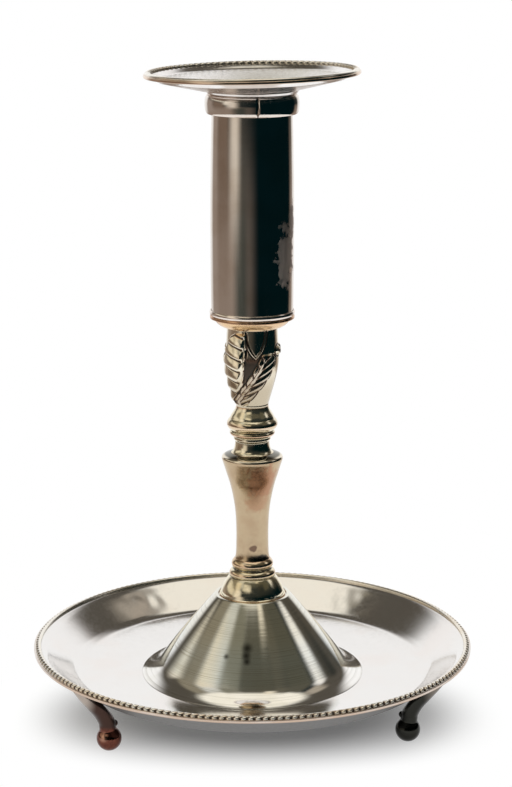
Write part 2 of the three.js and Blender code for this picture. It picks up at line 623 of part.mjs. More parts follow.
function hexNut(foot) {
  const corner = NUT_ACROSS_FLATS / 2 / Math.cos(Math.PI / NUT_SIDES);
  const shape = new THREE.Shape();
  for (let i = 0; i < NUT_SIDES; i += 1) {
    const azimuth = (2 * Math.PI * i) / NUT_SIDES;
    const x = corner * Math.cos(azimuth);
    const y = corner * Math.sin(azimuth);
    if (i === 0) shape.moveTo(x, y);
    else shape.lineTo(x, y);
  }
  shape.holes.push(new THREE.Path().absarc(0, 0, rodBore, 0, 2 * Math.PI));
  const options = { depth: NUT_HEIGHT, bevelEnabled: false, curveSegments: ROD_SIDES / 2 };
  const nut = new THREE.ExtrudeGeometry(shape, options);
  nut.translate(0, 0, foot);
  return nut;
}

function washer(foot) {
  const outline = new THREE.Path();
  outline.moveTo(rodBore, foot);
  outline.lineTo(WASHER_RADIUS, foot);
  outline.lineTo(WASHER_RADIUS, foot + WASHER_THICKNESS);
  outline.lineTo(rodBore, foot + WASHER_THICKNESS);
  return turned(outline.getPoints(), ROD_SIDES);
}

function buildTieRod() {
  const rod = new THREE.CylinderGeometry(ROD_RADIUS, ROD_RADIUS, rodTop - rodFoot, ROD_SIDES);
  rod.rotateX(Math.PI / 2);
  rod.translate(0, 0, (rodTop + rodFoot) / 2);
  addPiece('tie_rod', rod, iron);
  addPiece('tube_washer', washer(cupFloor), iron);
  addPiece('tube_nut', hexNut(cupFloor + WASHER_THICKNESS), iron);
  addPiece('base_washer', washer(floorUnder - WASHER_THICKNESS), iron);
  addPiece('base_nut', hexNut(floorUnder - WASHER_THICKNESS - NUT_HEIGHT), iron);
}

buildTray();
buildFeet();
buildCone();
buildBell();
buildBaluster();
buildRingKnop();
buildLeafKnop();
buildCup();
buildFootRing();
buildTube();
buildDripPan();
buildTieRod();

export default candlestick;
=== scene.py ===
"""Looks of the candlestick: worn silver plate over turned and sheet brass, in a pale studio."""
import math
from dataclasses import dataclass
from functools import partialmethod

import bmesh
import bpy
import numpy as np
from mathutils import Matrix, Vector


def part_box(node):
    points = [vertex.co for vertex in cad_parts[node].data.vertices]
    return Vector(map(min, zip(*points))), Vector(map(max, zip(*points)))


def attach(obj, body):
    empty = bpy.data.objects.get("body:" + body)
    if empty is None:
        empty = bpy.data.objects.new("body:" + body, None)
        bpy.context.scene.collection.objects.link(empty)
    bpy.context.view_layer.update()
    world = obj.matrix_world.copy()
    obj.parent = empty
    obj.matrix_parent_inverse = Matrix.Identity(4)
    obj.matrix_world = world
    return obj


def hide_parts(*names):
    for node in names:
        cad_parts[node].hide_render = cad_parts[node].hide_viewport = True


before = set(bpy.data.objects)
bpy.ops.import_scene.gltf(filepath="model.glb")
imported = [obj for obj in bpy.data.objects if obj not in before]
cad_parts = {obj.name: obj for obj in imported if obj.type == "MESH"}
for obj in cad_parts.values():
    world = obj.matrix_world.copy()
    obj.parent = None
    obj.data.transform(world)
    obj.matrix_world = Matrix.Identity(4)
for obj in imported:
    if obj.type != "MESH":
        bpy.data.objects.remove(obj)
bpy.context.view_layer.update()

MM = 0.001
TURN = 2 * math.pi


def low(node):
    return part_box(node)[0] / MM


def high(node):
    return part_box(node)[1] / MM


# Levels and radii that the frame gives, in millimetres
FLOOR = low("base_cone").z
TRAY_LIP = high("tray_pan").z
TRAY_RADIUS = high("tray_pan").x
TRAY_SHEET = FLOOR - low("tray_pan").z
CONE_TOP = high("base_cone").z
CONE_MOUTH = high("base_cone").x
BELL_TOP = high("stem_bell").z
BALUSTER_TOP = high("baluster").z
KNOP_TOP = high("ring_knop").z
LEAF_TOP = high("leaf_knop").z
TUBE_FOOT = low("candle_tube").z
TUBE_TOP = high("candle_tube").z
FOOT_RING_TOP = high("tube_foot_ring").z
FOOT_RING_RADIUS = high("tube_foot_ring").x
CUP_RADIUS = high("tube_cup").x
CUP_UNDER = low("tube_cup").z
COLLAR_FOOT = low("drip_pan_collar").z
COLLAR_RADIUS = high("drip_pan_collar").x
DISH_RADIUS = high("drip_pan_dish").x
ROD_RADIUS = high("tie_rod").y
ROD_FOOT = low("tie_rod").z
ROD_TOP = high("tie_rod").z

# Sizes that the frame does not give, in millimetres and degrees
ROD_BORE = 2.8
EDGE = 0.25  # how far a worn corner is rounded
FILM = 0.05  # solder between two pieces
BORE_SPACING = 1.0  # between the points of a mesh along a bore
TRAY_SEAT_RADIUS = 38.0
TRAY_SEAT_BEND = 4.0
TRAY_FLOOR_RADIUS = 58.0
TRAY_FLOOR_RISE = 1.7
TRAY_FLOOR_BEND = 2.0
TRAY_LIP_WIDTH = 3.0
TRAY_LIP_BEND = 1.8
CONE_TOP_RADIUS = 12.8
CONE_SEAT_RADIUS = 11.1  # the bell stands inside the cone's crest
CONE_CREST = 0.7  # height above the bell's seat
CREST_ROUND = 0.3
CONE_BULGE = 0.4
CONE_WAIST_RADIUS = 30.6
CONE_WAIST_RISE = 4.0
CONE_MOUTH_SLOPE = math.tan(math.radians(18))
CONE_SHEET = 0.9
CONE_EDGE = 0.12
CUP_SHEET = 0.9
CUP_FLOOR_RADIUS = 8.4
TUBE_RADIUS = 12.8
TUBE_BELLY = 13.3
TUBE_FOOT_RADIUS = 13.1
TUBE_SHEET = 0.8
COLLAR_CLEARANCE = 0.5
COLLAR_RIM = 0.9  # width of its lower edge
COLLAR_BELLY = 0.55  # share of its height at which it is widest
COLLAR_SEAM = 1.9  # sideways from the middle of the front
COLLAR_SEAM_HALF = 0.2
DISH_SHEET = 0.9
DISH_LEAN = math.radians(1.2)
DISH_NECK = 13.65
DISH_NECK_RISE = 1.2
DISH_SLOPE_RISE = 3.0
DISH_LIP_RISE = 1.4
DISH_LIP_WIDTH = 2.4
DISH_LIP_BEND = 0.6
BORDER_EDGE = 0.45  # plain lip left outside a border
BORDER_WIDTH = 1.9
BORDER_PITCH = 2.2
BORDER_RISE = 0.25  # the border's middle above its lip
BORDER_SQUASH = 0.68
BORDER_BITE = 0.5  # share of the border's half width that a notch takes
BORDER_SLANT = 0.5
RINGS_PER_BEAD = 10
WIRE_SIDES = 24
TRAY_SAG = 0.07
BRUISE_DEPTH = 0.17
BRUISES = ((-148, 10, 1.0), (148, 7, 0.4))  # in the tray's wall: azimuth, half width in degrees, strength
FOOT_CIRCLE = 55.6
FOOT_BALL = 4.05
FOOT_FLAT = 0.3
FOOT_VOXEL = 0.26
LEG_ROOT = 2.7  # half width inside the ball

# Azimuth and share of black patina
FEET = {"foot_front_left": (214.6, 0.2), "foot_front_right": (334.6, 0.95), "foot_back": (94.6, 0.6)}

# Stations of a leg: outward from the ball, above its neck, half width and half depth
LEG = ((0.6, 0.0, 2.75, 2.55), (0.9, 2.2, 3.0, 2.6), (2.9, 5.5, 3.1, 2.4), (5.6, 8.6, 3.1, 2.2),
       (9.0, 12.0, 2.4, 1.7), (12.0, 15.0, 1.3, 1.0))
HEEL = (-2.0, 0.9, 1.2)  # knob behind the neck: outward, above the neck and radius

# Leaf knop
LEAF_BELLY = 8.5  # radius of the knop where the leaves have their full width
PETAL_POINT = 16.9  # height above the knop's foot
PETAL_AZIMUTH = 8
PETAL_HALF_ANGLE = 30
PETAL_WIDENING = 4  # height over which the petal widens
CURL_AZIMUTH = 73
CURL_HEIGHT = 18.8
CURL_RADIUS = 1.7


# Outlines

def smooth_path(knots, steps):
    """Points on a smooth curve through every knot, without the first one."""
    path = [np.array(knot, float) for knot in knots]
    path = [2 * path[0] - path[1], *path, 2 * path[-1] - path[-2]]
    points = []
    for a, b, c, d in zip(path, path[1:], path[2:], path[3:]):
        for t in np.linspace(0, 1, steps + 1)[1:]:
            points.append((2 * b + (c - a) * t + (2 * a - 5 * b + 4 * c - d) * t ** 2
                           + (3 * b - a - 3 * c + d) * t ** 3) / 2)
    return points


class Outline:
    """A run of (radius, height) points, drawn the way a turner's tool would travel."""

    def __init__(self, radius, height):
        self.points = [(radius, height)]

    def line(self, *ends):
        self.points += ends
        return self

    def bend(self, corner, end, steps=10):
        """A curve that leaves towards the corner and arrives from it."""
        start = np.array(self.points[-1])
        middle, stop = np.array(corner), np.array(end)
        for t in np.linspace(0, 1, steps + 1)[1:]:
            point = (1 - t) ** 2 * start + 2 * t * (1 - t) * middle + t * t * stop
            self.points.append(tuple(point))
        return self

    def swell(self, middle_radius, end, steps=12):
        """A curve that passes through middle_radius halfway."""
        start = self.points[-1]
        control = 2 * middle_radius - (start[0] + end[0]) / 2
        return self.bend((control, (start[1] + end[1]) / 2), end, steps)

    def spline(self, *knots, steps=8):
        self.points += [tuple(p) for p in smooth_path((self.points[-1], *knots), steps)]
        return self


def softened(points, reach=EDGE, steps=4):
    """The closed outline with its corners rounded off, over less than half of a short side."""
    nearly_straight = -0.9
    most = 0.45
    result = []
    count = len(points)
    for i, here in enumerate(np.array(points, float)):
        before = np.array(points[i - 1]) - here
        after = np.array(points[(i + 1) % count]) - here
        lengths = np.linalg.norm(before), np.linalg.norm(after)
        cosine = before @ after / (lengths[0] * lengths[1])
        if cosine < nearly_straight:
            result.append(tuple(here))
            continue
        cut = min(reach, most * min(lengths))
        start = here + before / lengths[0] * cut
        stop = here + after / lengths[1] * cut
        for t in np.linspace(0, 1, steps + 1):
            point = (1 - t) ** 2 * start + 2 * t * (1 - t) * here + t * t * stop
            result.append(tuple(point))
    return result


def spaced(points, spacing):
    """The closed outline with points added along long stretches, fewer on the last one, the bore."""
    result = []
    for i, here in enumerate(np.array(points, float)):
        stretch = np.array(points[(i + 1) % len(points)]) - here
        gap = spacing if i + 1 < len(points) else max(spacing, BORE_SPACING)
        parts = max(1, math.ceil(np.linalg.norm(stretch) / gap))
        result += [tuple(here + stretch * k / parts) for k in range(parts)]
    return result


def back_face(face, thickness):
    """The other face of a sheet whose upper or outer face runs outwards from the bore."""
    points = np.array(face, float)
    along = np.diff(points, axis=0)
    along /= np.linalg.norm(along, axis=1)[:, None]
    normals = np.stack([along[:, 1], -along[:, 0]], axis=1)
    before = np.vstack([normals[:1], normals])
    after = np.vstack([normals, normals[-1:]])
    mitre = (before + after) / (1 + (before * after).sum(axis=1))[:, None]
    return [tuple(p) for p in points + mitre * thickness]


def sheet(face, thickness):
    return back_face(face, thickness) + list(face)[::-1]


def unit(vector):
    return vector / np.linalg.norm(vector)


def oriented(outline):
    """The outline in the direction that turns its faces outwards."""
    r, z = np.array(outline, float).T
    area = (r * np.roll(z, -1) - np.roll(r, -1) * z).sum()
    return np.array(outline if area > 0 else outline[::-1], float)


def hollowness(profile, reach=1.1):
    """How far each point of a closed outline lies in a hollow (positive) or on an edge (negative)."""
    ahead = np.roll(profile, -1, axis=0) - profile
    length = np.linalg.norm(ahead, axis=1)
    weight = (length + np.roll(length, 1)) / 2
    travel = np.concatenate([[0], np.cumsum(length)[:-1]])
    apart = np.abs(travel[:, None] - travel[None])
    apart = np.minimum(apart, length.sum() - apart)
    near = weight[None] * np.exp(-(apart / reach) ** 2)
    mean = near @ profile / near.sum(axis=1)[:, None]
    across = np.roll(profile, -1, axis=0) - np.roll(profile, 1, axis=0)
    across /= np.linalg.norm(across, axis=1)[:, None] + 1e-9
    outward = np.stack([across[:, 1], -across[:, 0]], axis=1)
    return ((mean - profile) * outward).sum(axis=1) / reach


# Meshes

def link(name, data):
    """A new object in the scene."""
    piece = bpy.data.objects.new(name, data)
    bpy.context.scene.collection.objects.link(piece)
    return piece


def make_object(name, vertices, faces, groove_and_shade=None, sharp=None):
    mesh = bpy.data.meshes.new(name)
    mesh.from_pydata((np.asarray(vertices) * MM).tolist(), [], faces)
    mesh.polygons.foreach_set("use_smooth", [True] * len(mesh.polygons))
    # This value darkens hollows in the finishes, both as dirt and as painted shade.
    layer = mesh.attributes.new("groove_and_shade", "FLOAT", "POINT")
    layer.data.foreach_set("value", np.zeros(len(vertices)) if groove_and_shade is None else groove_and_shade)
    mesh.validate()
    mesh.update()
    if sharp:
        mesh.set_sharp_from_angle(angle=sharp)
    return link(name, mesh)


def grid_faces(rows, columns, close_rows=True):
    """Quads over a grid of points numbered row by row, whose columns are closed."""
    faces = []
    for i in range(rows if close_rows else rows - 1):
        for k in range(columns):
            a, b = i * columns + k, i * columns + (k + 1) % columns
            c = (i + 1) % rows * columns
            faces.append((a, b, c + (k + 1) % columns, c + k))
    return faces


def turned(name, outline, segments, shape=None, sharp=None, seam=None):
    """A closed outline revolved about Z. shape(azimuth, radius, height, groove) may move the points;
    azimuth 0 faces the front and grows to the right. seam is the azimuth and half width of a slit."""
    profile = oriented(outline)
    count = len(profile)
    sweep = np.arange(segments) * TURN / segments
    faces = grid_faces(segments, count, close_rows=not seam)
    if seam:
        middle, half = seam
        sweep = np.linspace(middle + half, middle + TURN - half, segments)
        faces.append(tuple(range(count))[::-1])
        faces.append(tuple(range((segments - 1) * count, segments * count)))
    azimuth = np.repeat(sweep, count)
    radius = np.tile(profile[:, 0], segments)
    height = np.tile(profile[:, 1], segments)
    groove_and_shade = np.tile(hollowness(profile), segments)
    if shape:
        radius, height, groove_and_shade = shape(azimuth, radius, height, groove_and_shade)
    vertices = np.stack([radius * np.sin(azimuth), -radius * np.cos(azimuth), height], axis=1)
    return make_object(name, vertices, faces, groove_and_shade, sharp)


def dress(piece, node, material, body="stand"):
    piece.data.materials.append(material)
    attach(piece, body)
    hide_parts(node)


def waves(u, v, seed):
    """A smooth uneven height of about one, the same at every run."""
    count = 10
    draw = np.random.default_rng(seed)
    total = np.zeros_like(u)
    for _ in range(count):
        direction = draw.normal(size=2)
        total += np.sin(u * direction[0] + v * direction[1] + draw.uniform(0, TURN))
    return total / math.sqrt(count)


def hill(distance, reach):
    """A soft round hill of height one."""
    return np.exp(-(distance / reach) ** 2)


def step(value, start, end):
    """A smooth step from 0 at start to 1 at end."""
    t = np.clip((value - start) / (end - start), 0, 1)
    return t * t * (3 - 2 * t)


# Node trees

class Graph:
    """A node tree built by short calls. Each call returns the socket that carries its result."""

    def __init__(self, tree):
        tree.nodes.clear()
        self.tree = tree

    def node(self, kind, inputs, **settings):
        made = self.tree.nodes.new("ShaderNode" + kind)
        for key, value in settings.items():
            setattr(made, key, value)
        for key, value in inputs.items():
            socket = made.inputs[key]
            if isinstance(value, bpy.types.NodeSocket):
                self.tree.links.new(value, socket)
            elif socket.type == "RGBA":
                socket.default_value = (*value, 1)
            else:
                socket.default_value = value
        return made

    def math(self, operation, *values):
        return self.node("Math", dict(enumerate(values)), operation=operation).outputs[0]

    plus = partialmethod(math, "ADD")
    minus = partialmethod(math, "SUBTRACT")
    times = partialmethod(math, "MULTIPLY")
    greater = partialmethod(math, "MAXIMUM")

    def fade(self, value, start, end, first=0.0, last=1.0):
        """A smooth step from first at start to last at end."""
        ends = {"From Min": start, "From Max": end, "To Min": first, "To Max": last}
        made = self.node("MapRange", {"Value": value, **ends}, interpolation_type="SMOOTHSTEP")
        return made.outputs["Result"]

    def mix(self, share, first, second):
        return self.node("Mix", {0: share, 6: first, 7: second}, data_type="RGBA").outputs[2]

    def blend(self, value, start, end, first, second, share=1.0):
        """From the first colour at start to a share of the second one at end."""
        return self.mix(self.fade(value, start, end, 0.0, share), first, second)

    def rays(self):
        """1 for what the camera sees directly, and 1 for what the metal mirrors."""
        path = self.node("LightPath", {}).outputs
        return path["Is Camera Ray"], self.greater(path["Is Glossy Ray"], path["Is Transmission Ray"])

    def apart(self, vector):
        return self.node("SeparateXYZ", {"Vector": vector}).outputs

    def together(self, x, y, z):
        return self.node("CombineXYZ", {"X": x, "Y": y, "Z": z}).outputs[0]


class Metal(Graph):
    """A metal finish whose colour, gloss and fine relief follow the piece in millimetres."""

    def __init__(self, name):
        self.material = bpy.data.materials.new(name)
        self.material.use_nodes = True
        super().__init__(self.material.node_tree)
        place = self.node("TexCoord", {}).outputs["Object"]
        scaled = self.node("VectorMath", {0: place, "Scale": 1 / MM}, operation="SCALE")
        self.place = scaled.outputs[0]
        self.x, self.y, self.z = self.apart(self.place)
        squares = self.plus(self.times(self.x, self.x), self.times(self.y, self.y))
        self.radius = self.math("SQRT", squares)
        self.azimuth = self.math("DEGREES", self.math("ARCTAN2", self.x, self.times(self.y, -1.0)))
        self.groove_and_shade = self.node("Attribute", {}, attribute_name="groove_and_shade").outputs["Fac"]
        self.upward = self.apart(self.node("NewGeometry", {}).outputs["Normal"])["Z"]

    def patches(self, scale, detail, place=None):
        inputs = {"Vector": place or self.place, "Scale": scale, "Detail": detail}
        return self.node("TexNoise", inputs).outputs[0]

    def turning(self, per_mm, sway=0.5):
        """Lines of the lathe: noise that changes along the outline and hardly round the axis."""
        climb = self.times(self.z, 2 * per_mm)
        travel = self.minus(climb, self.times(self.radius, per_mm))
        around = [self.times(self.math("DIVIDE", side, self.radius), sway) for side in (self.x, self.y)]
        return self.patches(1.0, 3.0, self.together(*around, travel))

    def spot(self, centre, reach):
        """A soft round patch about a point, from 1 in the middle to 0."""
        inputs = {0: self.place, 1: centre}
        away = self.node("VectorMath", inputs, operation="DISTANCE").outputs["Value"]
        return self.fade(away, reach, 0.0)

    def stain(self, azimuth, height, half_width, half_height, ragged):
        """A patch about a point of a round piece, from 1 inside to 0, with a ragged edge."""
        across = self.math("DIVIDE", self.minus(self.azimuth, azimuth), half_width)
        up = self.math("DIVIDE", self.minus(self.z, height), half_height)
        away = self.math("SQRT", self.plus(self.math("POWER", across, 2.0), self.math("POWER", up, 2.0)))
        uneven = self.times(self.minus(self.patches(0.45, 6.0), 0.5), ragged)
        return self.fade(self.plus(away, uneven), 1.15, 0.6)

    def done(self, color, roughness, height, depth):
        bump = self.node("Bump", {"Height": height, "Distance": depth * MM})
        shader = self.node("BsdfPrincipled", {
            "Base Color": color, "Roughness": roughness, "Metallic": 1.0, "Normal": bump.outputs[0]})
        self.node("OutputMaterial", {"Surface": shader.outputs[0]})
        return self.material


# Finishes

GREY_SILVER = (0.74, 0.73, 0.64)
ROSE_SILVER = (0.84, 0.75, 0.68)
PALE_BRASS = (0.82, 0.73, 0.52)
BRASS = (0.74, 0.60, 0.37)
COPPER = (0.62, 0.36, 0.22)
PALE_COPPER = (0.76, 0.56, 0.40)
BROWN = (0.22, 0.13, 0.09)
SOOT = (0.06, 0.055, 0.045)
TRAY_SILVER = (0.86, 0.84, 0.82)
TRAY_WARM = (0.86, 0.82, 0.79)
TRAY_UNDERSIDE_SHADE = (0.18, 0.175, 0.17)
TRAY_EDGE = (0.58, 0.44, 0.34)
CONE_SKIRT = (0.92, 0.90, 0.87)
CONE_FLANK = (0.80, 0.83, 0.81)
CONE_SHOULDER = (0.82, 0.80, 0.71)
CONE_CLOUD = (0.76, 0.74, 0.66)
CONE_LINE = (0.50, 0.48, 0.42)
DISH_SILVER = (0.90, 0.87, 0.85)
DISH_WARM = (0.84, 0.79, 0.75)
DISH_TARNISH = (0.56, 0.53, 0.44)
TUBE_SILVER = (0.80, 0.75, 0.70)
TUBE_WARM = (0.72, 0.65, 0.58)
TUBE_STAIN = (0.64, 0.55, 0.49)
STEM_GOLD = (0.88, 0.80, 0.62)
CUP_GOLD = (0.84, 0.60, 0.36)
BALUSTER_BROWN = (0.55, 0.43, 0.28)
BALUSTER_DARK = (0.49, 0.36, 0.23)
BALUSTER_HEAD = (0.82, 0.74, 0.60)
BALUSTER_LEDGE_SHADE = (0.15, 0.14, 0.11)
# Leaf knop brass: painted light makes it lighter above and darker below
LEAF_LIT_BRASS = (0.90, 0.84, 0.70)
LEAF_WARM = (0.84, 0.74, 0.57)
LEAF_SHADED_BRASS = (0.60, 0.52, 0.39)
WIRE_PALE = (0.90, 0.86, 0.78)
WIRE_WARM = (0.86, 0.76, 0.62)
FOOT_COPPER = (0.16, 0.055, 0.036)
FOOT_BROWN = (0.09, 0.033, 0.025)
FOOT_LEG = (0.06, 0.035, 0.028)
FOOT_PAINTED_HIGHLIGHT = (0.48, 0.27, 0.19)
FOOT_BLACK = (0.03, 0.03, 0.026)
FOOT_PLATE = (0.52, 0.45, 0.39)
IRON_GREY = (0.34, 0.33, 0.31)
IRON_DARK = (0.20, 0.17, 0.15)
RUST = (0.30, 0.17, 0.10)

# Stains of a round piece: azimuth, height, half width, half height, and colour or raggedness
BALUSTER_STAINS = ((25, 81, 45, 6.5, (0.46, 0.26, 0.16)), (15, 74, 40, 3.0, (0.50, 0.32, 0.20)),
                   (30, 55.2, 34, 1.3, (0.12, 0.11, 0.09)), (3, 58.6, 14, 1.2, (0.20, 0.13, 0.09)))
TUBE_STAINS = ((54, 155.5, 20, 10, 2.2), (70, 166, 10, 7, 1.4))

# Patches about a point: place and reach
CONE_PITS = (((-1.6, -21.8, 30.4), 2.6), ((-1.9, -23.6, 28.6), 2.2), ((-1.7, -24.8, 27.0), 1.8),
             ((-8.4, -22.6, 28.0), 1.4))
DISH_TARNISHED = ((5, 14, TUBE_TOP + 5), 27)
# Where the painted highlight sits on each foot's ball
FOOT_HIGHLIGHT_SIDE = (-0.42, -0.82, 0.38)  # direction from the ball's centre


def tray_finish():
    """Polished plate, copper at the worn edge, dull on the underside and painted dark grey there as
    shade.
    """
    metal = Metal("tray_plate")
    cloud = metal.patches(0.055, 4.0)
    speckle = metal.patches(0.9, 5.0)
    lines = metal.turning(1.3)
    under = metal.fade(metal.upward, 0.0, -0.3)
    color = metal.blend(cloud, 0.45, 0.7, TRAY_SILVER, TRAY_WARM)
    color = metal.blend(speckle, 0.6, 0.8, color, GREY_SILVER, share=0.15)
    wear_and_highlight = metal.fade(metal.radius, TRAY_RADIUS - 0.6, TRAY_RADIUS - 0.1)
    wear_and_highlight = metal.times(wear_and_highlight, metal.fade(cloud, 0.3, 0.55, 0.5, 0.95))
    # Painted shade: the underside is painted dark grey; its extra roughness is a dull finish.
    color = metal.mix(wear_and_highlight, metal.mix(under, color, TRAY_UNDERSIDE_SHADE), TRAY_EDGE)
    gloss = metal.fade(speckle, 0.3, 0.75, 0.10, 0.17)
    roughness = metal.plus(gloss, metal.times(under, 0.35))
    return metal.done(color, roughness, lines, 0.001)


def cone_finish():
    """Plate with the lines of the lathe, browner above, and a few black pits at the front."""
    metal = Metal("cone_plate")
    cloud = metal.patches(0.08, 4.0)
    fine = metal.turning(2.6)
    broad = metal.turning(0.5, 0.2)
    flank = metal.blend(metal.z, 26.0, 34.0, CONE_FLANK, CONE_SHOULDER)
    color = metal.blend(metal.z, 18.5, 21.0, CONE_SKIRT, flank)
    color = metal.blend(cloud, 0.4, 0.7, color, CONE_CLOUD, share=0.5)
    color = metal.blend(fine, 0.5, 0.75, color, CONE_LINE, share=0.7)
    for pit, reach in CONE_PITS:
        color = metal.mix(metal.times(metal.spot(pit, reach), 0.9), color, SOOT)
    roughness = metal.fade(fine, 0.3, 0.7, 0.05, 0.13)
    height = metal.plus(fine, metal.times(broad, 3.0))
    return metal.done(color, roughness, height, 0.0025)


def dish_finish():
    """Plate that heat and wax have dulled, with the tarnish of the flame inside the dish."""
    metal = Metal("dish_plate")
    cloud = metal.patches(0.12, 4.0)
    speckle = metal.patches(1.1, 5.0)
    inside = metal.fade(metal.radius, DISH_RADIUS - 2.0, DISH_RADIUS - 7.0)
    color = metal.blend(cloud, 0.35, 0.7, DISH_SILVER, DISH_WARM)
    color = metal.mix(metal.spot(*DISH_TARNISHED), color, DISH_TARNISH)
    wear_and_highlight = metal.fade(metal.radius, DISH_RADIUS - 0.9, DISH_RADIUS - 0.2, 0.0, 0.8)
    color = metal.mix(wear_and_highlight, color, PALE_COPPER)
    roughness = metal.plus(metal.fade(speckle, 0.3, 0.75, 0.08, 0.16), metal.times(inside, 0.1))
    return metal.done(color, roughness, speckle, 0.003)


def tube_finish():
    """Dark polished plate with a drawn grain, dulled in two stains."""
    metal = Metal("tube_plate")
    cloud = metal.patches(0.09, 5.0)
    streak = metal.patches(0.8, 4.0, metal.together(metal.x, metal.y, metal.times(metal.z, 0.06)))
    speckle = metal.patches(1.4, 5.0)
    color = metal.blend(cloud, 0.4, 0.7, TUBE_SILVER, TUBE_WARM)
    stain = metal.greater(*(metal.stain(*place) for place in TUBE_STAINS))
    color = metal.mix(stain, color, TUBE_STAIN)
    # Painted shade: the hollows of the outline are darkened brown, both as tarnish and as shade.
    color = metal.blend(metal.groove_and_shade, 0.05, 0.3, color, BROWN)
    color = metal.blend(metal.groove_and_shade, -0.05, -0.2, color, ROSE_SILVER)
    roughness = metal.plus(metal.fade(streak, 0.3, 0.7, 0.07, 0.14), metal.times(stain, 0.4))
    return metal.done(color, roughness, metal.plus(streak, metal.times(speckle, 0.4)), 0.004)


def stem_finish(name, metal_color, pale_color, stain_color, stain, gloss):
    """Turned brass: plate left on the swells, copper on the edges, soot and painted shade in the hollows.
    """
    metal = Metal(name)
    cloud = metal.patches(0.11, 5.0)
    speckle = metal.patches(1.2, 5.0)
    lines = metal.turning(2.2)
    color = metal.blend(cloud, 0.35, 0.7, metal_color, pale_color)
    color = metal.blend(cloud, 0.5, 0.75, color, stain_color, share=stain)
    color = metal.blend(metal.groove_and_shade, -0.04, -0.2, color, COPPER, share=0.7)
    # Painted shade: the hollows are darkened towards soot black, both as dirt and as shade.
    dirt_and_shade = metal.times(metal.fade(metal.groove_and_shade, 0.04, 0.3), metal.fade(speckle, 0.25, 0.5))
    color = metal.mix(dirt_and_shade, color, SOOT)
    roughness = metal.fade(speckle, 0.3, 0.75, gloss, gloss + 0.16)
    return metal.done(color, roughness, metal.plus(lines, speckle), 0.004)


def baluster_finish():
    """Bare brown brass with coppery stains, polished only on its head, with painted shade on the ledge of
    its top.
    """
    metal = Metal("baluster_brass")
    cloud = metal.patches(0.16, 5.0)
    speckle = metal.patches(1.2, 5.0)
    color = metal.blend(cloud, 0.35, 0.7, BALUSTER_BROWN, BALUSTER_DARK)
    for *place, stain_color in BALUSTER_STAINS:
        color = metal.mix(metal.stain(*place, ragged=1.5), color, stain_color)
    head = metal.fade(metal.z, BALUSTER_TOP - 1.9, BALUSTER_TOP - 1.2)
    color = metal.mix(head, color, BALUSTER_HEAD)
    # Painted shade: the flat top ledge of the head is painted nearly black.
    painted_ledge_shade = metal.times(head, metal.fade(metal.radius, 9.4, 8.6))
    color = metal.mix(painted_ledge_shade, color, BALUSTER_LEDGE_SHADE)
    dull = metal.fade(speckle, 0.3, 0.75, 0.14, 0.22)
    roughness = metal.minus(dull, metal.times(head, 0.1))
    return metal.done(color, roughness, speckle, 0.002)


def leaf_finish():
    """Brass painted lighter above, where the highlights fall, and darker below as painted shade; dark in
    the carving, as patina and painted shade.
    """
    metal = Metal("leaf_brass")
    cloud = metal.patches(0.2, 4.0)
    speckle = metal.patches(1.6, 4.0)
    upper = metal.blend(cloud, 0.35, 0.7, LEAF_LIT_BRASS, LEAF_WARM)
    # Painted light: lighter brass above and darker below, following where the highlights fall.
    color = metal.blend(metal.z, KNOP_TOP + 5.0, KNOP_TOP + 14.0, LEAF_SHADED_BRASS, upper)
    # Painted shade: the carving, and the shaded parts that carve() marks, are darkened brown and black.
    color = metal.blend(metal.groove_and_shade, 0.1, 0.5, color, BROWN)
    color = metal.blend(metal.groove_and_shade, 0.4, 0.8, color, SOOT)
    gloss = metal.fade(speckle, 0.3, 0.75, 0.14, 0.2)
    roughness = metal.plus(gloss, metal.fade(metal.groove_and_shade, 0.3, 0.8, 0.0, 0.3))
    return metal.done(color, roughness, speckle, 0.003)


def rope_finish(name, dirt_and_shade):
    """Pale brass with a given share of dirt and painted shade in the notches."""
    metal = Metal(name)
    cloud = metal.patches(0.06, 4.0)
    speckle = metal.patches(1.8, 4.0)
    color = metal.blend(cloud, 0.4, 0.65, WIRE_PALE, WIRE_WARM)
    # Painted shade: the notches are darkened brown and black, both as dirt and as shade.
    color = metal.blend(metal.groove_and_shade, 0.35, 0.6, color, BROWN, share=dirt_and_shade)
    color = metal.blend(metal.groove_and_shade, 0.55, 0.85, color, SOOT, share=dirt_and_shade)
    roughness = metal.fade(speckle, 0.3, 0.7, 0.15, 0.25)
    return metal.done(color, roughness, speckle, 0.008)


def foot_finish(name, patina, ball):
    """Copper brown to black, with a painted highlight on the ball and plate left on the end of the leg.
    """
    metal = Metal(name)
    cloud = metal.patches(0.22, 4.0)
    speckle = metal.patches(1.3, 4.0)
    color = metal.blend(speckle, 0.3, 0.75, FOOT_COPPER, FOOT_BROWN)
    black = metal.fade(cloud, 0.8 - 0.7 * patina, 1.0 - 0.7 * patina)
    leg_foot = ball[2] + 0.75 * FOOT_BALL
    color = metal.blend(metal.z, leg_foot, leg_foot + 2.0, color, FOOT_LEG)
    # Painted highlight: a pale copper spot on the front left of the ball.
    wear_and_highlight = tuple(ball + FOOT_BALL * np.array(FOOT_HIGHLIGHT_SIDE))
    color = metal.mix(metal.spot(wear_and_highlight, 2.2), color, FOOT_PAINTED_HIGHLIGHT)
    color = metal.mix(black, color, FOOT_BLACK)
    plated = metal.fade(metal.radius, FOOT_CIRCLE + 6.0, FOOT_CIRCLE + 10.0, 0.0, 0.9 - 0.6 * patina)
    color = metal.mix(plated, color, FOOT_PLATE)
    roughness = metal.fade(speckle, 0.3, 0.75, 0.14, 0.24)
    return metal.done(color, roughness, speckle, 0.004)


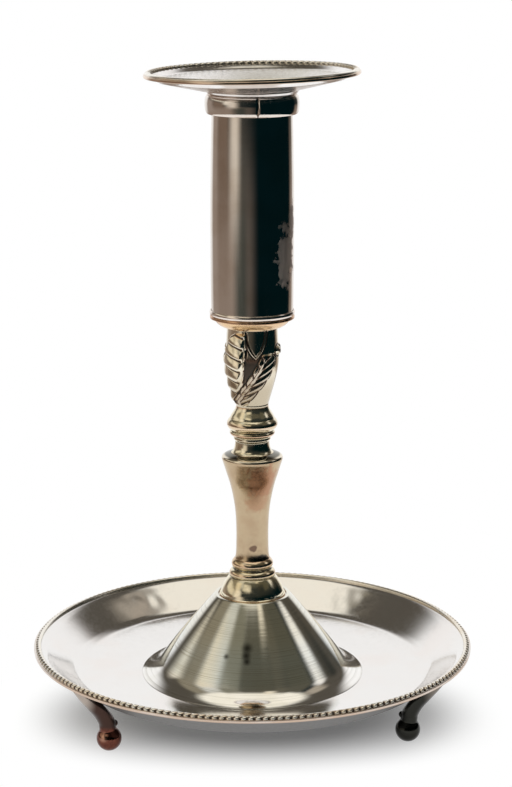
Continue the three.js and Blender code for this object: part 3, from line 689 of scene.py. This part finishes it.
def iron_finish():
    """Plain dark iron with specks of rust."""
    metal = Metal("dark_iron")
    cloud = metal.patches(0.35, 5.0)
    speckle = metal.patches(2.0, 5.0)
    color = metal.blend(cloud, 0.35, 0.7, IRON_GREY, IRON_DARK)
    color = metal.blend(speckle, 0.6, 0.75, color, RUST, share=0.6)
    roughness = metal.fade(speckle, 0.3, 0.75, 0.38, 0.6)
    return metal.done(color, roughness, speckle, 0.03)


TRAY_PLATE = tray_finish()
CONE_PLATE = cone_finish()
DISH_PLATE = dish_finish()
TUBE_PLATE = tube_finish()
STEM_BRASS = stem_finish("stem_brass", STEM_GOLD, PALE_BRASS, BRASS, stain=0.6, gloss=0.07)
BALUSTER_BRASS = baluster_finish()
CUP_BRASS = stem_finish("cup_brass", CUP_GOLD, PALE_COPPER, COPPER, stain=0.7, gloss=0.14)
LEAF_BRASS = leaf_finish()
TRAY_ROPE_BRASS = rope_finish("tray_rope_brass", dirt_and_shade=0.85)
DISH_ROPE_BRASS = rope_finish("dish_rope_brass", dirt_and_shade=0.3)
IRON = iron_finish()


# Tray

def tray_face():
    seat = np.array([TRAY_SEAT_RADIUS, FLOOR])
    edge = np.array([TRAY_FLOOR_RADIUS, FLOOR + TRAY_FLOOR_RISE])
    brink = np.array([TRAY_RADIUS - TRAY_LIP_WIDTH, TRAY_LIP])
    rise, wall = unit(edge - seat), unit(brink - edge)
    face = Outline(ROD_BORE, FLOOR).line((TRAY_SEAT_RADIUS - TRAY_SEAT_BEND, FLOOR))
    face.bend(seat, seat + rise * TRAY_SEAT_BEND).line(tuple(edge - rise * TRAY_FLOOR_BEND))
    face.bend(edge, edge + wall * TRAY_FLOOR_BEND).line(tuple(brink - wall * TRAY_LIP_BEND))
    face.bend(brink, brink + (TRAY_LIP_BEND, 0), 6).line((TRAY_RADIUS, TRAY_LIP))
    return face.points


def under_tray(radius):
    """Height of the tray's underside at a radius."""
    under = np.array(back_face(tray_face(), TRAY_SHEET))
    return np.interp(radius, under[:, 0], under[:, 1])


def build_tray():
    def shape(azimuth, radius, height, groove_and_shade):
        x, y = radius * np.sin(azimuth), radius * np.cos(azimuth)
        free = step(radius, CONE_MOUTH, CONE_MOUTH + 8) * step(radius, TRAY_RADIUS - 3, TRAY_RADIUS - 7)
        place = np.degrees(np.arctan2(x, y))
        bruised = sum(strength * hill(place - centre, width) for centre, width, strength in BRUISES)
        bruised = bruised * step(radius, TRAY_FLOOR_RADIUS + 0.5, TRAY_FLOOR_RADIUS + 4)
        sag = TRAY_SAG * waves(x / 9, y / 9, seed=3)
        dents = BRUISE_DEPTH * bruised * waves(x / 1.8, y / 1.8, seed=5)
        return radius, height + (sag + dents) * free, groove_and_shade
    outline = spaced(softened(sheet(tray_face(), TRAY_SHEET)), spacing=1.0)
    tray = turned("tray", outline, segments=384, shape=shape)
    dress(tray, "tray_pan", TRAY_PLATE)


def border(name, ring_radius, base, side, lean=0.0):
    """A wire on a lip, with slanting notches on its outer side (side 1) or its inner side (side -1)."""
    half = BORDER_WIDTH / 2
    middle = ring_radius - BORDER_EDGE - half
    beads = round(TURN * middle / BORDER_PITCH)
    rings = beads * RINGS_PER_BEAD
    along = np.repeat(np.arange(rings), WIRE_SIDES) / rings
    around = np.tile(np.arange(WIRE_SIDES), rings) / WIRE_SIDES * TURN
    lobe = np.abs(np.cos(along * beads * math.pi + BORDER_SLANT * np.cos(around)))
    notch = step(side * np.cos(around), -0.4, 0.4) * (1 - lobe ** 1.2)
    reach = half * (1 - BORDER_BITE * notch)
    radius = middle + reach * np.cos(around)
    height = base + BORDER_RISE + BORDER_SQUASH * reach * np.sin(around)
    azimuth = along * TURN
    x, y = radius * np.sin(azimuth), -radius * np.cos(azimuth)
    height = height + x * math.tan(lean)
    return make_object(name, np.stack([x, y, height], axis=1), grid_faces(rings, WIRE_SIDES), notch)


# Feet

def ball(bm, centre, radius):
    place = Matrix.Translation(np.array(centre) * MM)
    bmesh.ops.create_uvsphere(bm, u_segments=40, v_segments=24, radius=radius * MM, matrix=place)


def leg(bm, stations, sides=28):
    """A closed loft through (outward, height, half width, half depth) stations."""
    path = np.array([stations[0], *smooth_path(stations, 8)])
    along = np.gradient(path[:, :2], axis=0)
    along /= np.linalg.norm(along, axis=1)[:, None]
    angle = np.arange(sides) / sides * TURN
    rings = []
    for (outward, height, width, depth), (run, climb) in zip(path, along):
        aside = depth * np.cos(angle)
        ring = np.stack([outward - climb * aside, width * np.sin(angle), height + run * aside], axis=1)
        rings.append([bm.verts.new(point * MM) for point in ring])
    for lower, upper in zip(rings, rings[1:]):
        for k in range(sides):
            bm.faces.new((lower[k], lower[(k + 1) % sides], upper[(k + 1) % sides], upper[k]))
    bm.faces.new(rings[0][::-1])
    bm.faces.new(rings[-1])
    bmesh.ops.recalc_face_normals(bm, faces=bm.faces)


def blended(bm, voxel):
    """One smooth skin over overlapping closed forms, as vertices in millimetres and faces."""
    mesh = bpy.data.meshes.new("rough")
    bm.to_mesh(mesh)
    rough = link("rough", mesh)
    remesh = rough.modifiers.new("skin", "REMESH")
    remesh.mode = "VOXEL"
    remesh.voxel_size = voxel * MM
    smooth = rough.modifiers.new("smooth", "SMOOTH")
    smooth.iterations = 8
    skin = rough.evaluated_get(bpy.context.evaluated_depsgraph_get()).to_mesh()
    vertices = np.array([v.co for v in skin.vertices]) / MM
    faces = [tuple(p.vertices) for p in skin.polygons]
    bpy.data.objects.remove(rough)
    bpy.data.meshes.remove(mesh)
    return vertices, faces


def build_feet():
    centre = FOOT_BALL - FOOT_FLAT
    neck = centre + FOOT_BALL - EDGE
    bm = bmesh.new()
    ball(bm, (FOOT_CIRCLE, 0, centre), FOOT_BALL)
    outward, rise, radius = HEEL
    ball(bm, (FOOT_CIRCLE + outward, 0, neck + rise), radius)
    stations = [(FOOT_CIRCLE + outward, neck + rise, *half) for outward, rise, *half in LEG]
    leg(bm, [(FOOT_CIRCLE, centre, LEG_ROOT, LEG_ROOT), *stations])
    vertices, faces = blended(bm, FOOT_VOXEL)
    bm.free()
    reach = np.hypot(vertices[:, 0], vertices[:, 1])
    ceiling = under_tray(reach) - FILM
    vertices[:, 2] = np.clip(vertices[:, 2], 0, ceiling)
    for node, (azimuth, patina) in FEET.items():
        turn = np.array(Matrix.Rotation(math.radians(azimuth), 3, "Z"))
        foot = make_object(node + "_cast", vertices @ turn.T, faces)
        middle = turn @ (FOOT_CIRCLE, 0, centre)
        dress(foot, node, foot_finish(node + "_copper", patina, middle))


# Cone

def build_cone():
    waist = FLOOR + CONE_WAIST_RISE
    foot = FLOOR + CONE_EDGE
    fall = (CONE_TOP - waist) / (CONE_WAIST_RADIUS - CONE_TOP_RADIUS)
    level = waist - foot + fall * CONE_WAIST_RADIUS - CONE_MOUTH_SLOPE * CONE_MOUTH
    turn = level / (fall - CONE_MOUTH_SLOPE)
    middle = ((CONE_TOP_RADIUS + CONE_WAIST_RADIUS) / 2, (CONE_TOP + waist) / 2 + 2 * CONE_BULGE)
    flank = Outline(CONE_TOP_RADIUS, CONE_TOP).bend(middle, (CONE_WAIST_RADIUS, waist), 24)
    flank.bend((turn, foot + CONE_MOUTH_SLOPE * (CONE_MOUTH - turn)), (CONE_MOUTH, foot), 24)
    lining = back_face([(ROD_BORE, CONE_TOP)] + flank.points, CONE_SHEET)
    inside = [(r, max(z, FLOOR)) for r, z in lining]
    crest = CONE_TOP + CONE_CREST
    crown = Outline(ROD_BORE, CONE_TOP)
    crown.line((CONE_SEAT_RADIUS, CONE_TOP), (CONE_SEAT_RADIUS, crest - CREST_ROUND))
    brow = (CONE_SEAT_RADIUS + 0.2, crest + CREST_ROUND)
    crown.bend(brow, (CONE_TOP_RADIUS - CONE_CREST / fall, crest - 0.1))
    outside = crown.points + flank.points[1:]
    outline = spaced(softened(inside + outside[::-1], reach=0.1), spacing=0.8)
    cone = turned("cone", outline, segments=192)
    dress(cone, "base_cone", CONE_PLATE)


# Stem

def stem_piece(name, node, foot, top, material, draw, segments=128, spacing=0.4, shape=None):
    """A turned piece. draw(outline, height) adds the outside, with heights above the piece's foot."""
    outline = Outline(ROD_BORE, 0)
    draw(outline, top - foot)
    outline.line((ROD_BORE, top - foot))
    placed = [(r, foot + z) for r, z in outline.points]
    piece = turned(name, spaced(softened(placed, reach=0.15), spacing), segments, shape)
    dress(piece, node, material)


def draw_bell(outline, height):
    outline.line((10.4, 0)).bend((10.95, 0), (10.8, 0.8), 6).line((10.45, 1.0))
    outline.spline((10.2, 2.2), (9.4, 4.0), (8.3, 5.8), (7.6, 6.7))
    outline.line((7.3, 6.9)).swell(7.55, (7.0, 8.9))
    outline.line((6.3, 9.4), (6.25, 9.7)).swell(6.8, (5.7, height))


def draw_baluster(outline, height):
    outline.line((5.75, 0)).bend((5.35, 0.8), (5.3, 4))
    outline.spline((5.25, 9), (5.45, 14.5), (6.0, 19.2), (7.1, 24.6), (8.45, 29), (9.8, 33.3))
    outline.bend((10.1, 34.3), (9.6, 34.7), 6).swell(8.5, (6.95, height))


def draw_ring_knop(outline, height):
    outline.line((6.95, 0)).bend((5.6, 0.8), (5.5, 4)).line((6.0, 4.6), (5.9, 5.4))
    outline.swell(7.25, (6.85, 7.5)).swell(8.2, (7.2, 11.6))
    outline.spline((6.75, 12.6), (5.75, 14.2), (5.15, height))


# Leaf knop: an upright leaf, one that leans across it, a petal and a curled tip, mirrored at the back

@dataclass
class Leaf:
    """A raised leaf. Heights are above the knop's foot. A side has a width, a count of lobes, a slope."""
    foot: float
    tip: float
    midrib: tuple  # azimuth at the foot, and its first and second change towards the tip
    height: float
    rib: float
    left: tuple
    right: tuple

    SKEW = 0.6  # below 1, so that a lobe is fullest near its lower end
    TAPER = 2.6  # how late the leaf narrows towards its tip
    SCALLOP = 0.12  # share of the width that its edge cuts in between lobes

    def relief(self, angle, rise, radius):
        """Cover, raise and groove at an azimuth and height."""
        length = self.tip - self.foot
        share = (rise - self.foot) / length
        held = np.clip(share, 0, 1)
        start_angle, turn, bend = self.midrib
        across = np.radians(angle - start_angle - turn * held - bend * held ** 2) * radius
        aside = np.abs(across)
        sides = zip(self.left, self.right)
        widths, lobes, slopes = (np.where(across > 0, right, left) for left, right in sides)
        start = share - (slopes + 0.6 * slopes * held) * aside / length
        phase = (lobes * start + 0.45) % 1
        lobe = np.sin(math.pi * phase ** self.SKEW)
        full = widths * radius / LEAF_BELLY * np.sqrt(1 - np.clip(start, 0, 1) ** self.TAPER)
        edge = full * (1 - self.SCALLOP + self.SCALLOP * lobe ** 0.6)
        there = step(start, -0.16, -0.08) * step(share, 1.02, 0.97)
        cover = step(aside, edge + 0.12, edge - 0.3) * there
        cushion = 0.3 + 0.7 * lobe * step(aside, 0.1, 0.9)
        crown = 1 - 0.4 * (aside / np.maximum(full, 0.5)) ** 2
        raised = self.height * cover * np.clip(cushion * crown, 0, 1)
        raised += self.rib * (hill(aside, 0.4) - 0.7 * hill(aside, 0.12)) * there * step(share, -0.1, 0.0)
        vein = np.maximum(step(phase, 0.24, 0.1), step(phase, 0.9, 1.0)) * step(aside, 0.2, 0.7) * cover
        furrow = self.rib * hill(aside - 0.7, 0.22) * there * cover
        rim = hill(aside - edge - 0.15, 0.28) * there * step(share, -0.15, 0.0)
        return cover, raised, np.maximum.reduce([0.8 * vein, 3 * furrow, 0.9 * rim])


LEANING_LEAF = Leaf(2.0, 18.2, (-46, 132, -55), 0.7, 0.2, left=(2.5, 5.5, 0.9), right=(5.2, 5.5, 0.55))
UPRIGHT_LEAF = Leaf(2.6, 24.8, (-36, 34, -13), 1.3, 0.0, left=(10.2, 6.0, 0.2), right=(0.9, 6.0, 0.9))


def petal(angle, rise, radius):
    """Raise and groove of the petal that hangs from the knop's rim."""
    drop = rise - PETAL_POINT
    half = PETAL_HALF_ANGLE * (1 - np.exp(-np.clip(drop, 0, None) / PETAL_WIDENING))
    aside = np.radians(np.abs(angle - PETAL_AZIMUTH) - half) * radius
    hem = hill(aside + 0.15, 0.2) * step(drop, -0.2, 0.4)
    outside = hill(aside - 0.35, 0.25) * step(drop, -0.6, 0.5)
    inside = hill(aside + 0.65, 0.25) * step(drop, 0.4, 1.0)
    return 0.22 * hem, np.maximum(0.8 * outside, 0.7 * inside)


def curl(angle, rise, radius):
    """Raise and groove of the round tip that curls out beside the petal."""
    away = np.hypot(np.radians(angle - CURL_AZIMUTH) * radius, rise - CURL_HEIGHT)
    raised = 0.9 * step(away, CURL_RADIUS, 0.5 * CURL_RADIUS) - 0.4 * hill(away, 0.35 * CURL_RADIUS)
    return raised, np.maximum(hill(away - 1.15 * CURL_RADIUS, 0.3), 0.6 * hill(away, 0.4 * CURL_RADIUS))


def carve(azimuth, radius, height, groove_and_shade):
    """The whole relief of the knop. The body between the two leaves is painted dark as shade, and the
    leaning leaf a little darker all over.
    """
    angle = np.degrees(np.arcsin(np.sin(azimuth)))
    rise = height - KNOP_TOP
    top = LEAF_TOP - KNOP_TOP
    skin = step(radius, ROD_BORE + 0.5, ROD_BORE + 1.5)
    skin = skin * step(rise, 0.2, 1.2) * step(rise, top, top - 0.5)
    raised, dark = petal(angle, rise, radius)
    # Painted shade: the body between the two leaves is darkened.
    painted_shade_between_leaves = step(np.abs(angle - 4), 34, 18) * step(rise, 6, 10) * step(rise, 19, 15)
    cover, leaf_raise, leaf_groove_and_shade = UPRIGHT_LEAF.relief(angle, rise, radius)
    raised = raised * (1 - cover) + leaf_raise
    dark = np.maximum(dark * (1 - cover), leaf_groove_and_shade)
    painted_shade_between_leaves = painted_shade_between_leaves * (1 - cover)
    cover, leaf_raise, leaf_groove_and_shade = LEANING_LEAF.relief(angle, rise, radius)
    # Painted shade: the leaning leaf is darkened a little all over.
    leaf_groove_and_shade = np.maximum(leaf_groove_and_shade, 0.24 * cover)
    raised = raised * (1 - cover) + np.maximum(leaf_raise, 0.4 * raised * cover)
    dark = np.maximum(dark, 0.7 * painted_shade_between_leaves) * (1 - cover) * (1 - leaf_groove_and_shade) + leaf_groove_and_shade
    tip_raise, tip_groove = curl(angle, rise, radius)
    raised = raised + tip_raise
    dark = np.maximum(dark, tip_groove)
    return radius + skin * (raised - 0.15 * dark), height, skin * dark


def draw_leaf_knop(outline, height):
    outline.line((5.15, 0)).bend((5.3, 0.3), (5.25, 0.9), 5)
    outline.spline((5.85, 3.0), (6.75, 6.2), (7.6, 9.4), (8.25, 12.6), (8.6, 16), (8.4, 20),
                   (8.1, height), steps=22)


# Candle tube

def build_cup():
    floor = CUP_UNDER + CUP_SHEET
    wall = TUBE_FOOT_RADIUS - TUBE_SHEET - CUP_SHEET
    face = Outline(ROD_BORE, floor).line((CUP_FLOOR_RADIUS, floor))
    face.bend((wall, floor + CUP_SHEET), (wall, TUBE_FOOT)).line((CUP_RADIUS, TUBE_FOOT))
    cup = turned("cup", softened(sheet(face.points, CUP_SHEET)), segments=128)
    dress(cup, "tube_cup", CUP_BRASS)


def build_foot_ring():
    bore = TUBE_FOOT_RADIUS + 0.1
    outline = Outline(bore, TUBE_FOOT).line((FOOT_RING_RADIUS - 0.5, TUBE_FOOT))
    outline.swell(FOOT_RING_RADIUS, (TUBE_FOOT_RADIUS + 0.3, FOOT_RING_TOP), 16)
    outline.line((bore, FOOT_RING_TOP))
    ring = turned("foot_ring", softened(outline.points, reach=0.1), segments=160)
    dress(ring, "tube_foot_ring", TUBE_PLATE)


def build_tube():
    bore = TUBE_RADIUS - TUBE_SHEET
    foot_bore = TUBE_FOOT_RADIUS - TUBE_SHEET
    outline = Outline(TUBE_FOOT_RADIUS, TUBE_FOOT).line((TUBE_FOOT_RADIUS, FOOT_RING_TOP))
    outline.swell(TUBE_BELLY, (TUBE_RADIUS, COLLAR_FOOT), 24)
    outline.line((TUBE_RADIUS, TUBE_TOP), (bore, TUBE_TOP), (bore, COLLAR_FOOT))
    outline.swell(TUBE_BELLY - TUBE_SHEET, (foot_bore, FOOT_RING_TOP), 24).line((foot_bore, TUBE_FOOT))
    tube = turned("tube", spaced(softened(outline.points, reach=0.15), spacing=0.8), segments=160)
    dress(tube, "candle_tube", TUBE_PLATE)


# Drip pan

def build_collar():
    bore = TUBE_RADIUS + COLLAR_CLEARANCE
    belly = COLLAR_FOOT + COLLAR_BELLY * (TUBE_TOP - COLLAR_FOOT)
    outline = Outline(bore, COLLAR_FOOT).line((bore + COLLAR_RIM, COLLAR_FOOT))
    outline.bend((COLLAR_RADIUS, COLLAR_FOOT + 0.4), (COLLAR_RADIUS, belly))
    outline.bend((COLLAR_RADIUS - 0.2, TUBE_TOP - 0.1), (DISH_NECK, TUBE_TOP), 14).line((bore, TUBE_TOP))
    seam = (math.asin(COLLAR_SEAM / COLLAR_RADIUS), COLLAR_SEAM_HALF / COLLAR_RADIUS)
    outline = spaced(softened(outline.points, reach=0.1), spacing=0.4)
    collar = turned("collar", outline, segments=160, seam=seam)
    dress(collar, "drip_pan_collar", TUBE_PLATE, body="drip_pan")


def build_dish():
    seat = TUBE_TOP + DISH_SHEET
    neck = seat + DISH_NECK_RISE
    lip = neck + DISH_SLOPE_RISE + DISH_LIP_RISE
    lip_foot = DISH_RADIUS - DISH_LIP_WIDTH
    face = Outline(TUBE_RADIUS - TUBE_SHEET + 0.2, seat).line((DISH_NECK, seat))
    face.bend((DISH_NECK + DISH_NECK_RISE / 2, neck), (DISH_NECK + 2 * DISH_NECK_RISE, neck))
    face.line((lip_foot - DISH_LIP_WIDTH, neck + DISH_SLOPE_RISE))
    face.bend((lip_foot, lip), (lip_foot + DISH_LIP_BEND, lip)).line((DISH_RADIUS, lip))

    def shape(azimuth, radius, height, groove_and_shade):
        share = np.clip((radius - DISH_NECK - DISH_SHEET) / 1.2, 0, 1)
        return radius, height + share * radius * np.sin(azimuth) * math.tan(DISH_LEAN), groove_and_shade
    outline = spaced(softened(sheet(face.points, DISH_SHEET)), spacing=1.0)
    dish = turned("dish", outline, segments=192, shape=shape)
    dress(dish, "drip_pan_dish", DISH_PLATE, body="drip_pan")
    wire = border("dish_rope", DISH_RADIUS, lip, side=-1, lean=DISH_LEAN)
    dress(wire, "drip_pan_border", DISH_ROPE_BRASS, body="drip_pan")


# Fasteners

def build_washer(node):
    foot, top, edge = low(node).z, high(node).z, high(node).x
    corners = [(ROD_BORE, foot), (edge, foot), (edge, top), (ROD_BORE, top)]
    outline = spaced(softened(corners, reach=0.2), spacing=0.5)
    washer = turned(node + "_plate", outline, segments=96)
    dress(washer, node, IRON)


def build_nut(node):
    """A six-sided nut with the rounded corners that its turned ends leave."""
    foot, top = low(node).z, high(node).z
    flat, corner = sorted((high(node).x, high(node).y))
    first_corner = 0 if high(node).y > high(node).x else math.pi / 6
    chamfer = 0.55
    bevel = 0.3
    outline = Outline(ROD_BORE, foot + bevel).line((ROD_BORE + bevel, foot), (flat, foot))
    outline.line((corner, foot + chamfer), (corner, top - chamfer), (flat, top))
    outline.line((ROD_BORE + bevel, top), (ROD_BORE, top - bevel))

    def shape(azimuth, radius, height, groove_and_shade):
        from_flat = (azimuth - first_corner) % (math.pi / 3) - math.pi / 6
        return np.minimum(radius, flat / np.cos(from_flat)), height, groove_and_shade
    outline = spaced(outline.points, spacing=0.25)
    nut = turned(node + "_hex", outline, segments=144, shape=shape, sharp=math.radians(20))
    dress(nut, node, IRON)


def build_rod():
    """A rod with a thread at each end."""
    pitch = 0.8
    depth = 0.22
    thread = 10.0
    core = 0.2
    bevel = 0.5

    def shape(azimuth, radius, height, groove_and_shade):
        ends = np.maximum(step(height, ROD_FOOT + thread, ROD_FOOT + thread - 1),
                          step(height, ROD_TOP - thread, ROD_TOP - thread + 1))
        ridge = 0.5 + 0.5 * np.cos(TURN * height / pitch - azimuth)
        cut = depth * ends * (1 - ridge) * step(radius, ROD_RADIUS - 0.6, ROD_RADIUS - 0.2)
        return radius - cut, height, groove_and_shade
    outline = Outline(core, ROD_FOOT).line((ROD_RADIUS - bevel, ROD_FOOT))
    outline.bend((ROD_RADIUS, ROD_FOOT), (ROD_RADIUS, ROD_FOOT + bevel), 4)
    outline.line((ROD_RADIUS, ROD_TOP - bevel))
    outline.bend((ROD_RADIUS, ROD_TOP), (ROD_RADIUS - bevel, ROD_TOP), 4).line((core, ROD_TOP))
    rod = turned("threaded_rod", spaced(outline.points, spacing=0.1), segments=40, shape=shape)
    dress(rod, "tie_rod", IRON)


build_tray()
tray_wire = border("tray_rope", TRAY_RADIUS, TRAY_LIP, side=1)
dress(tray_wire, "tray_border", TRAY_ROPE_BRASS)
build_feet()
build_cone()
stem_piece("bell", "stem_bell", CONE_TOP, BELL_TOP, STEM_BRASS, draw_bell)
stem_piece("baluster_turned", "baluster", BELL_TOP, BALUSTER_TOP, BALUSTER_BRASS, draw_baluster)
stem_piece("ring_knop_turned", "ring_knop", BALUSTER_TOP, KNOP_TOP, STEM_BRASS, draw_ring_knop)
stem_piece("leaf_knop_carved", "leaf_knop", KNOP_TOP, LEAF_TOP, LEAF_BRASS, draw_leaf_knop,
           segments=320, spacing=0.16, shape=carve)
build_cup()
build_foot_ring()
build_tube()
build_collar()
build_dish()
for washer_node in ("tube_washer", "base_washer"):
    build_washer(washer_node)
for nut_node in ("tube_nut", "base_nut"):
    build_nut(nut_node)
build_rod()


# Studio

WHITE = (1.0, 1.0, 1.0)
ROOM = (0.03, 0.035, 0.034)
FLOOR_GREY = (0.85, 0.87, 0.89)
FLOOR_LIFT = 0.10  # what the floor shows over its own colour, so that it is white where nothing shades it
FLOOR_SPREAD = 0.34
FLOOR_SIDES = 96
SHADOW_WIDTH = 0.069  # half sizes of the soft shadow under the tray
SHADOW_DEPTH = 0.0385
SHADOW_FADE = (0.55, 1.45)  # shares of them between which the shaded floor turns plain white

# Surfaces of the studio that show in the metal: azimuth from the camera's side to the right, elevation,
# half width, half height and how soft the sides and the ends are, in degrees, and colour
PANELS = (
    (180, 34, 75, 26, 6, 4, (0.09, 0.08, 0.065)),
    (0, 90, 180, 30, 4, 4, (0.98, 0.93, 0.81)),
    (-98, 44, 15, 16, 6, 5, (0.27, 0.24, 0.18)),
    (-64, 49, 21, 11, 8, 6, (0.66, 0.65, 0.59)),
    (-36, 55, 18, 9, 8, 5, (0.22, 0.21, 0.16)),
    (8, 55, 28, 9, 8, 5, (0.10, 0.095, 0.07)),
    (50, 55, 16, 9, 6, 5, (0.12, 0.11, 0.08)),
    (32, 63, 9, 5, 7, 3, (0.95, 0.86, 0.70)),
    (72, 46, 16, 14, 5, 4, (0.10, 0.095, 0.07)),
    (112, 50, 12, 8, 5, 5, (0.42, 0.37, 0.30)),
    (101, 34, 8, 7, 5, 5, (1.0, 0.97, 0.93)),
    (-26, 41, 18, 7, 7, 3, (0.80, 0.74, 0.60)),
    (0, -45, 180, 39, 4, 4, (0.30, 0.24, 0.20)),
    (-130, -4, 22, 12, 12, 6, (0.34, 0.28, 0.24)),
    (-100, 19, 24, 8, 10, 4, (0.80, 0.74, 0.62)),
    (-90, 0, 20, 9, 10, 5, (0.20, 0.145, 0.11)),
    (-30, -30, 18, 24, 14, 4, (0.07, 0.075, 0.065)),
    (30, -30, 40, 50, 30, 10, (0.001, 0.008, 0.010)),
    (82, -30, 44, 50, 6, 10, (0.001, 0.008, 0.010)),
    (165, 10, 20, 24, 8, 8, (1.0, 0.97, 0.96)),
    (-167, 10, 16, 22, 10, 8, (0.90, 0.86, 0.84)),
    (-152, 6, 10, 11, 6, 5, (0.85, 0.82, 0.82)),
    (-70, 38, 13, 8, 6, 5, (0.85, 0.76, 0.60)),
    (-61, 18, 13, 14, 8, 5, (0.95, 0.88, 0.76)),
    (-50, 4, 13, 12, 11, 3.5, (0.76, 0.69, 0.60)),
)

BACKDROP = (-178, 10, 36, 23, 9, 8)  # where the metal shows the white behind the object, as in PANELS


def panel_share(graph, azimuth, elevation, across, up, half_width, half_height, soft_sides, soft_ends):
    """1 on a panel and 0 off it."""
    turn = graph.math("WRAP", graph.minus(azimuth, across), 180.0, -180.0)
    wide = graph.fade(graph.math("ABSOLUTE", turn), half_width + soft_sides, half_width - soft_sides)
    rise = graph.math("ABSOLUTE", graph.minus(elevation, up))
    tall = graph.fade(rise, half_height + soft_ends, half_height - soft_ends)
    return graph.times(wide, tall)


def build_camera():
    data = bpy.data.cameras.new("camera")
    data.lens = 101.4
    data.sensor_width = 36
    data.clip_start = 0.01
    camera = link("camera", data)
    camera.location = (0.0012, -0.6962, 0.2735)
    camera.rotation_euler = (math.radians(76.74), 0, 0)
    bpy.context.scene.camera = camera


def build_world():
    world = bpy.data.worlds.new("studio")
    bpy.context.scene.world = world
    world.use_nodes = True
    graph = Graph(world.node_tree)
    x, y, z = graph.apart(graph.node("TexCoord", {}).outputs["Generated"])
    front = graph.times(y, -1.0)
    azimuth = graph.math("DEGREES", graph.math("ARCTAN2", x, front))
    elevation = graph.math("DEGREES", graph.math("ARCSINE", z))
    light = ROOM
    for *place, color in PANELS:
        light = graph.mix(panel_share(graph, azimuth, elevation, *place), light, color)
    direct, mirrored = graph.rays()
    behind = graph.times(mirrored, panel_share(graph, azimuth, elevation, *BACKDROP))
    shown = graph.mix(graph.greater(direct, behind), light, WHITE)
    background = graph.node("Background", {"Color": shown, "Strength": 1.0})
    graph.node("OutputWorld", {"Surface": background.outputs[0]})


def build_floor():
    mesh = bpy.data.meshes.new("floor")
    angles = np.arange(FLOOR_SIDES) / FLOOR_SIDES * TURN
    corners = [(FLOOR_SPREAD * math.cos(a), FLOOR_SPREAD * math.sin(a), 0) for a in angles]
    mesh.from_pydata(corners, [], [range(FLOOR_SIDES)])
    floor = link("floor", mesh)
    material = bpy.data.materials.new("floor")
    material.use_nodes = True
    graph = Graph(material.node_tree)
    seen = graph.greater(*graph.rays())
    diffuse = graph.node("BsdfDiffuse", {"Color": FLOOR_GREY})
    lift = graph.node("Emission", {"Color": WHITE, "Strength": graph.times(seen, FLOOR_LIFT)})
    lit = graph.node("AddShader", {0: diffuse.outputs[0], 1: lift.outputs[0]})
    plain = graph.node("Emission", {"Color": WHITE, "Strength": seen})
    place = graph.node("TexCoord", {}).outputs["Object"]
    reach = (SHADOW_WIDTH, SHADOW_DEPTH, 1.0)
    share = graph.node("VectorMath", {0: place, 1: reach}, operation="DIVIDE").outputs[0]
    away = graph.node("VectorMath", {0: share}, operation="LENGTH").outputs["Value"]
    edge = graph.fade(away, *SHADOW_FADE)
    surface = graph.node("MixShader", {0: edge, 1: lit.outputs[0], 2: plain.outputs[0]})
    graph.node("OutputMaterial", {"Surface": surface.outputs[0]})
    mesh.materials.append(material)


def build_lamp():
    data = bpy.data.lights.new("overhead", "AREA")
    data.shape = "DISK"
    data.size = 1.2
    data.energy = 10.5
    lamp = link("overhead", data)
    lamp.location = (-0.05, 0.1, 0.9)
    lamp.visible_glossy = False


build_camera()
build_world()
build_floor()
build_lamp()
bpy.context.scene.view_settings.view_transform = "Standard"
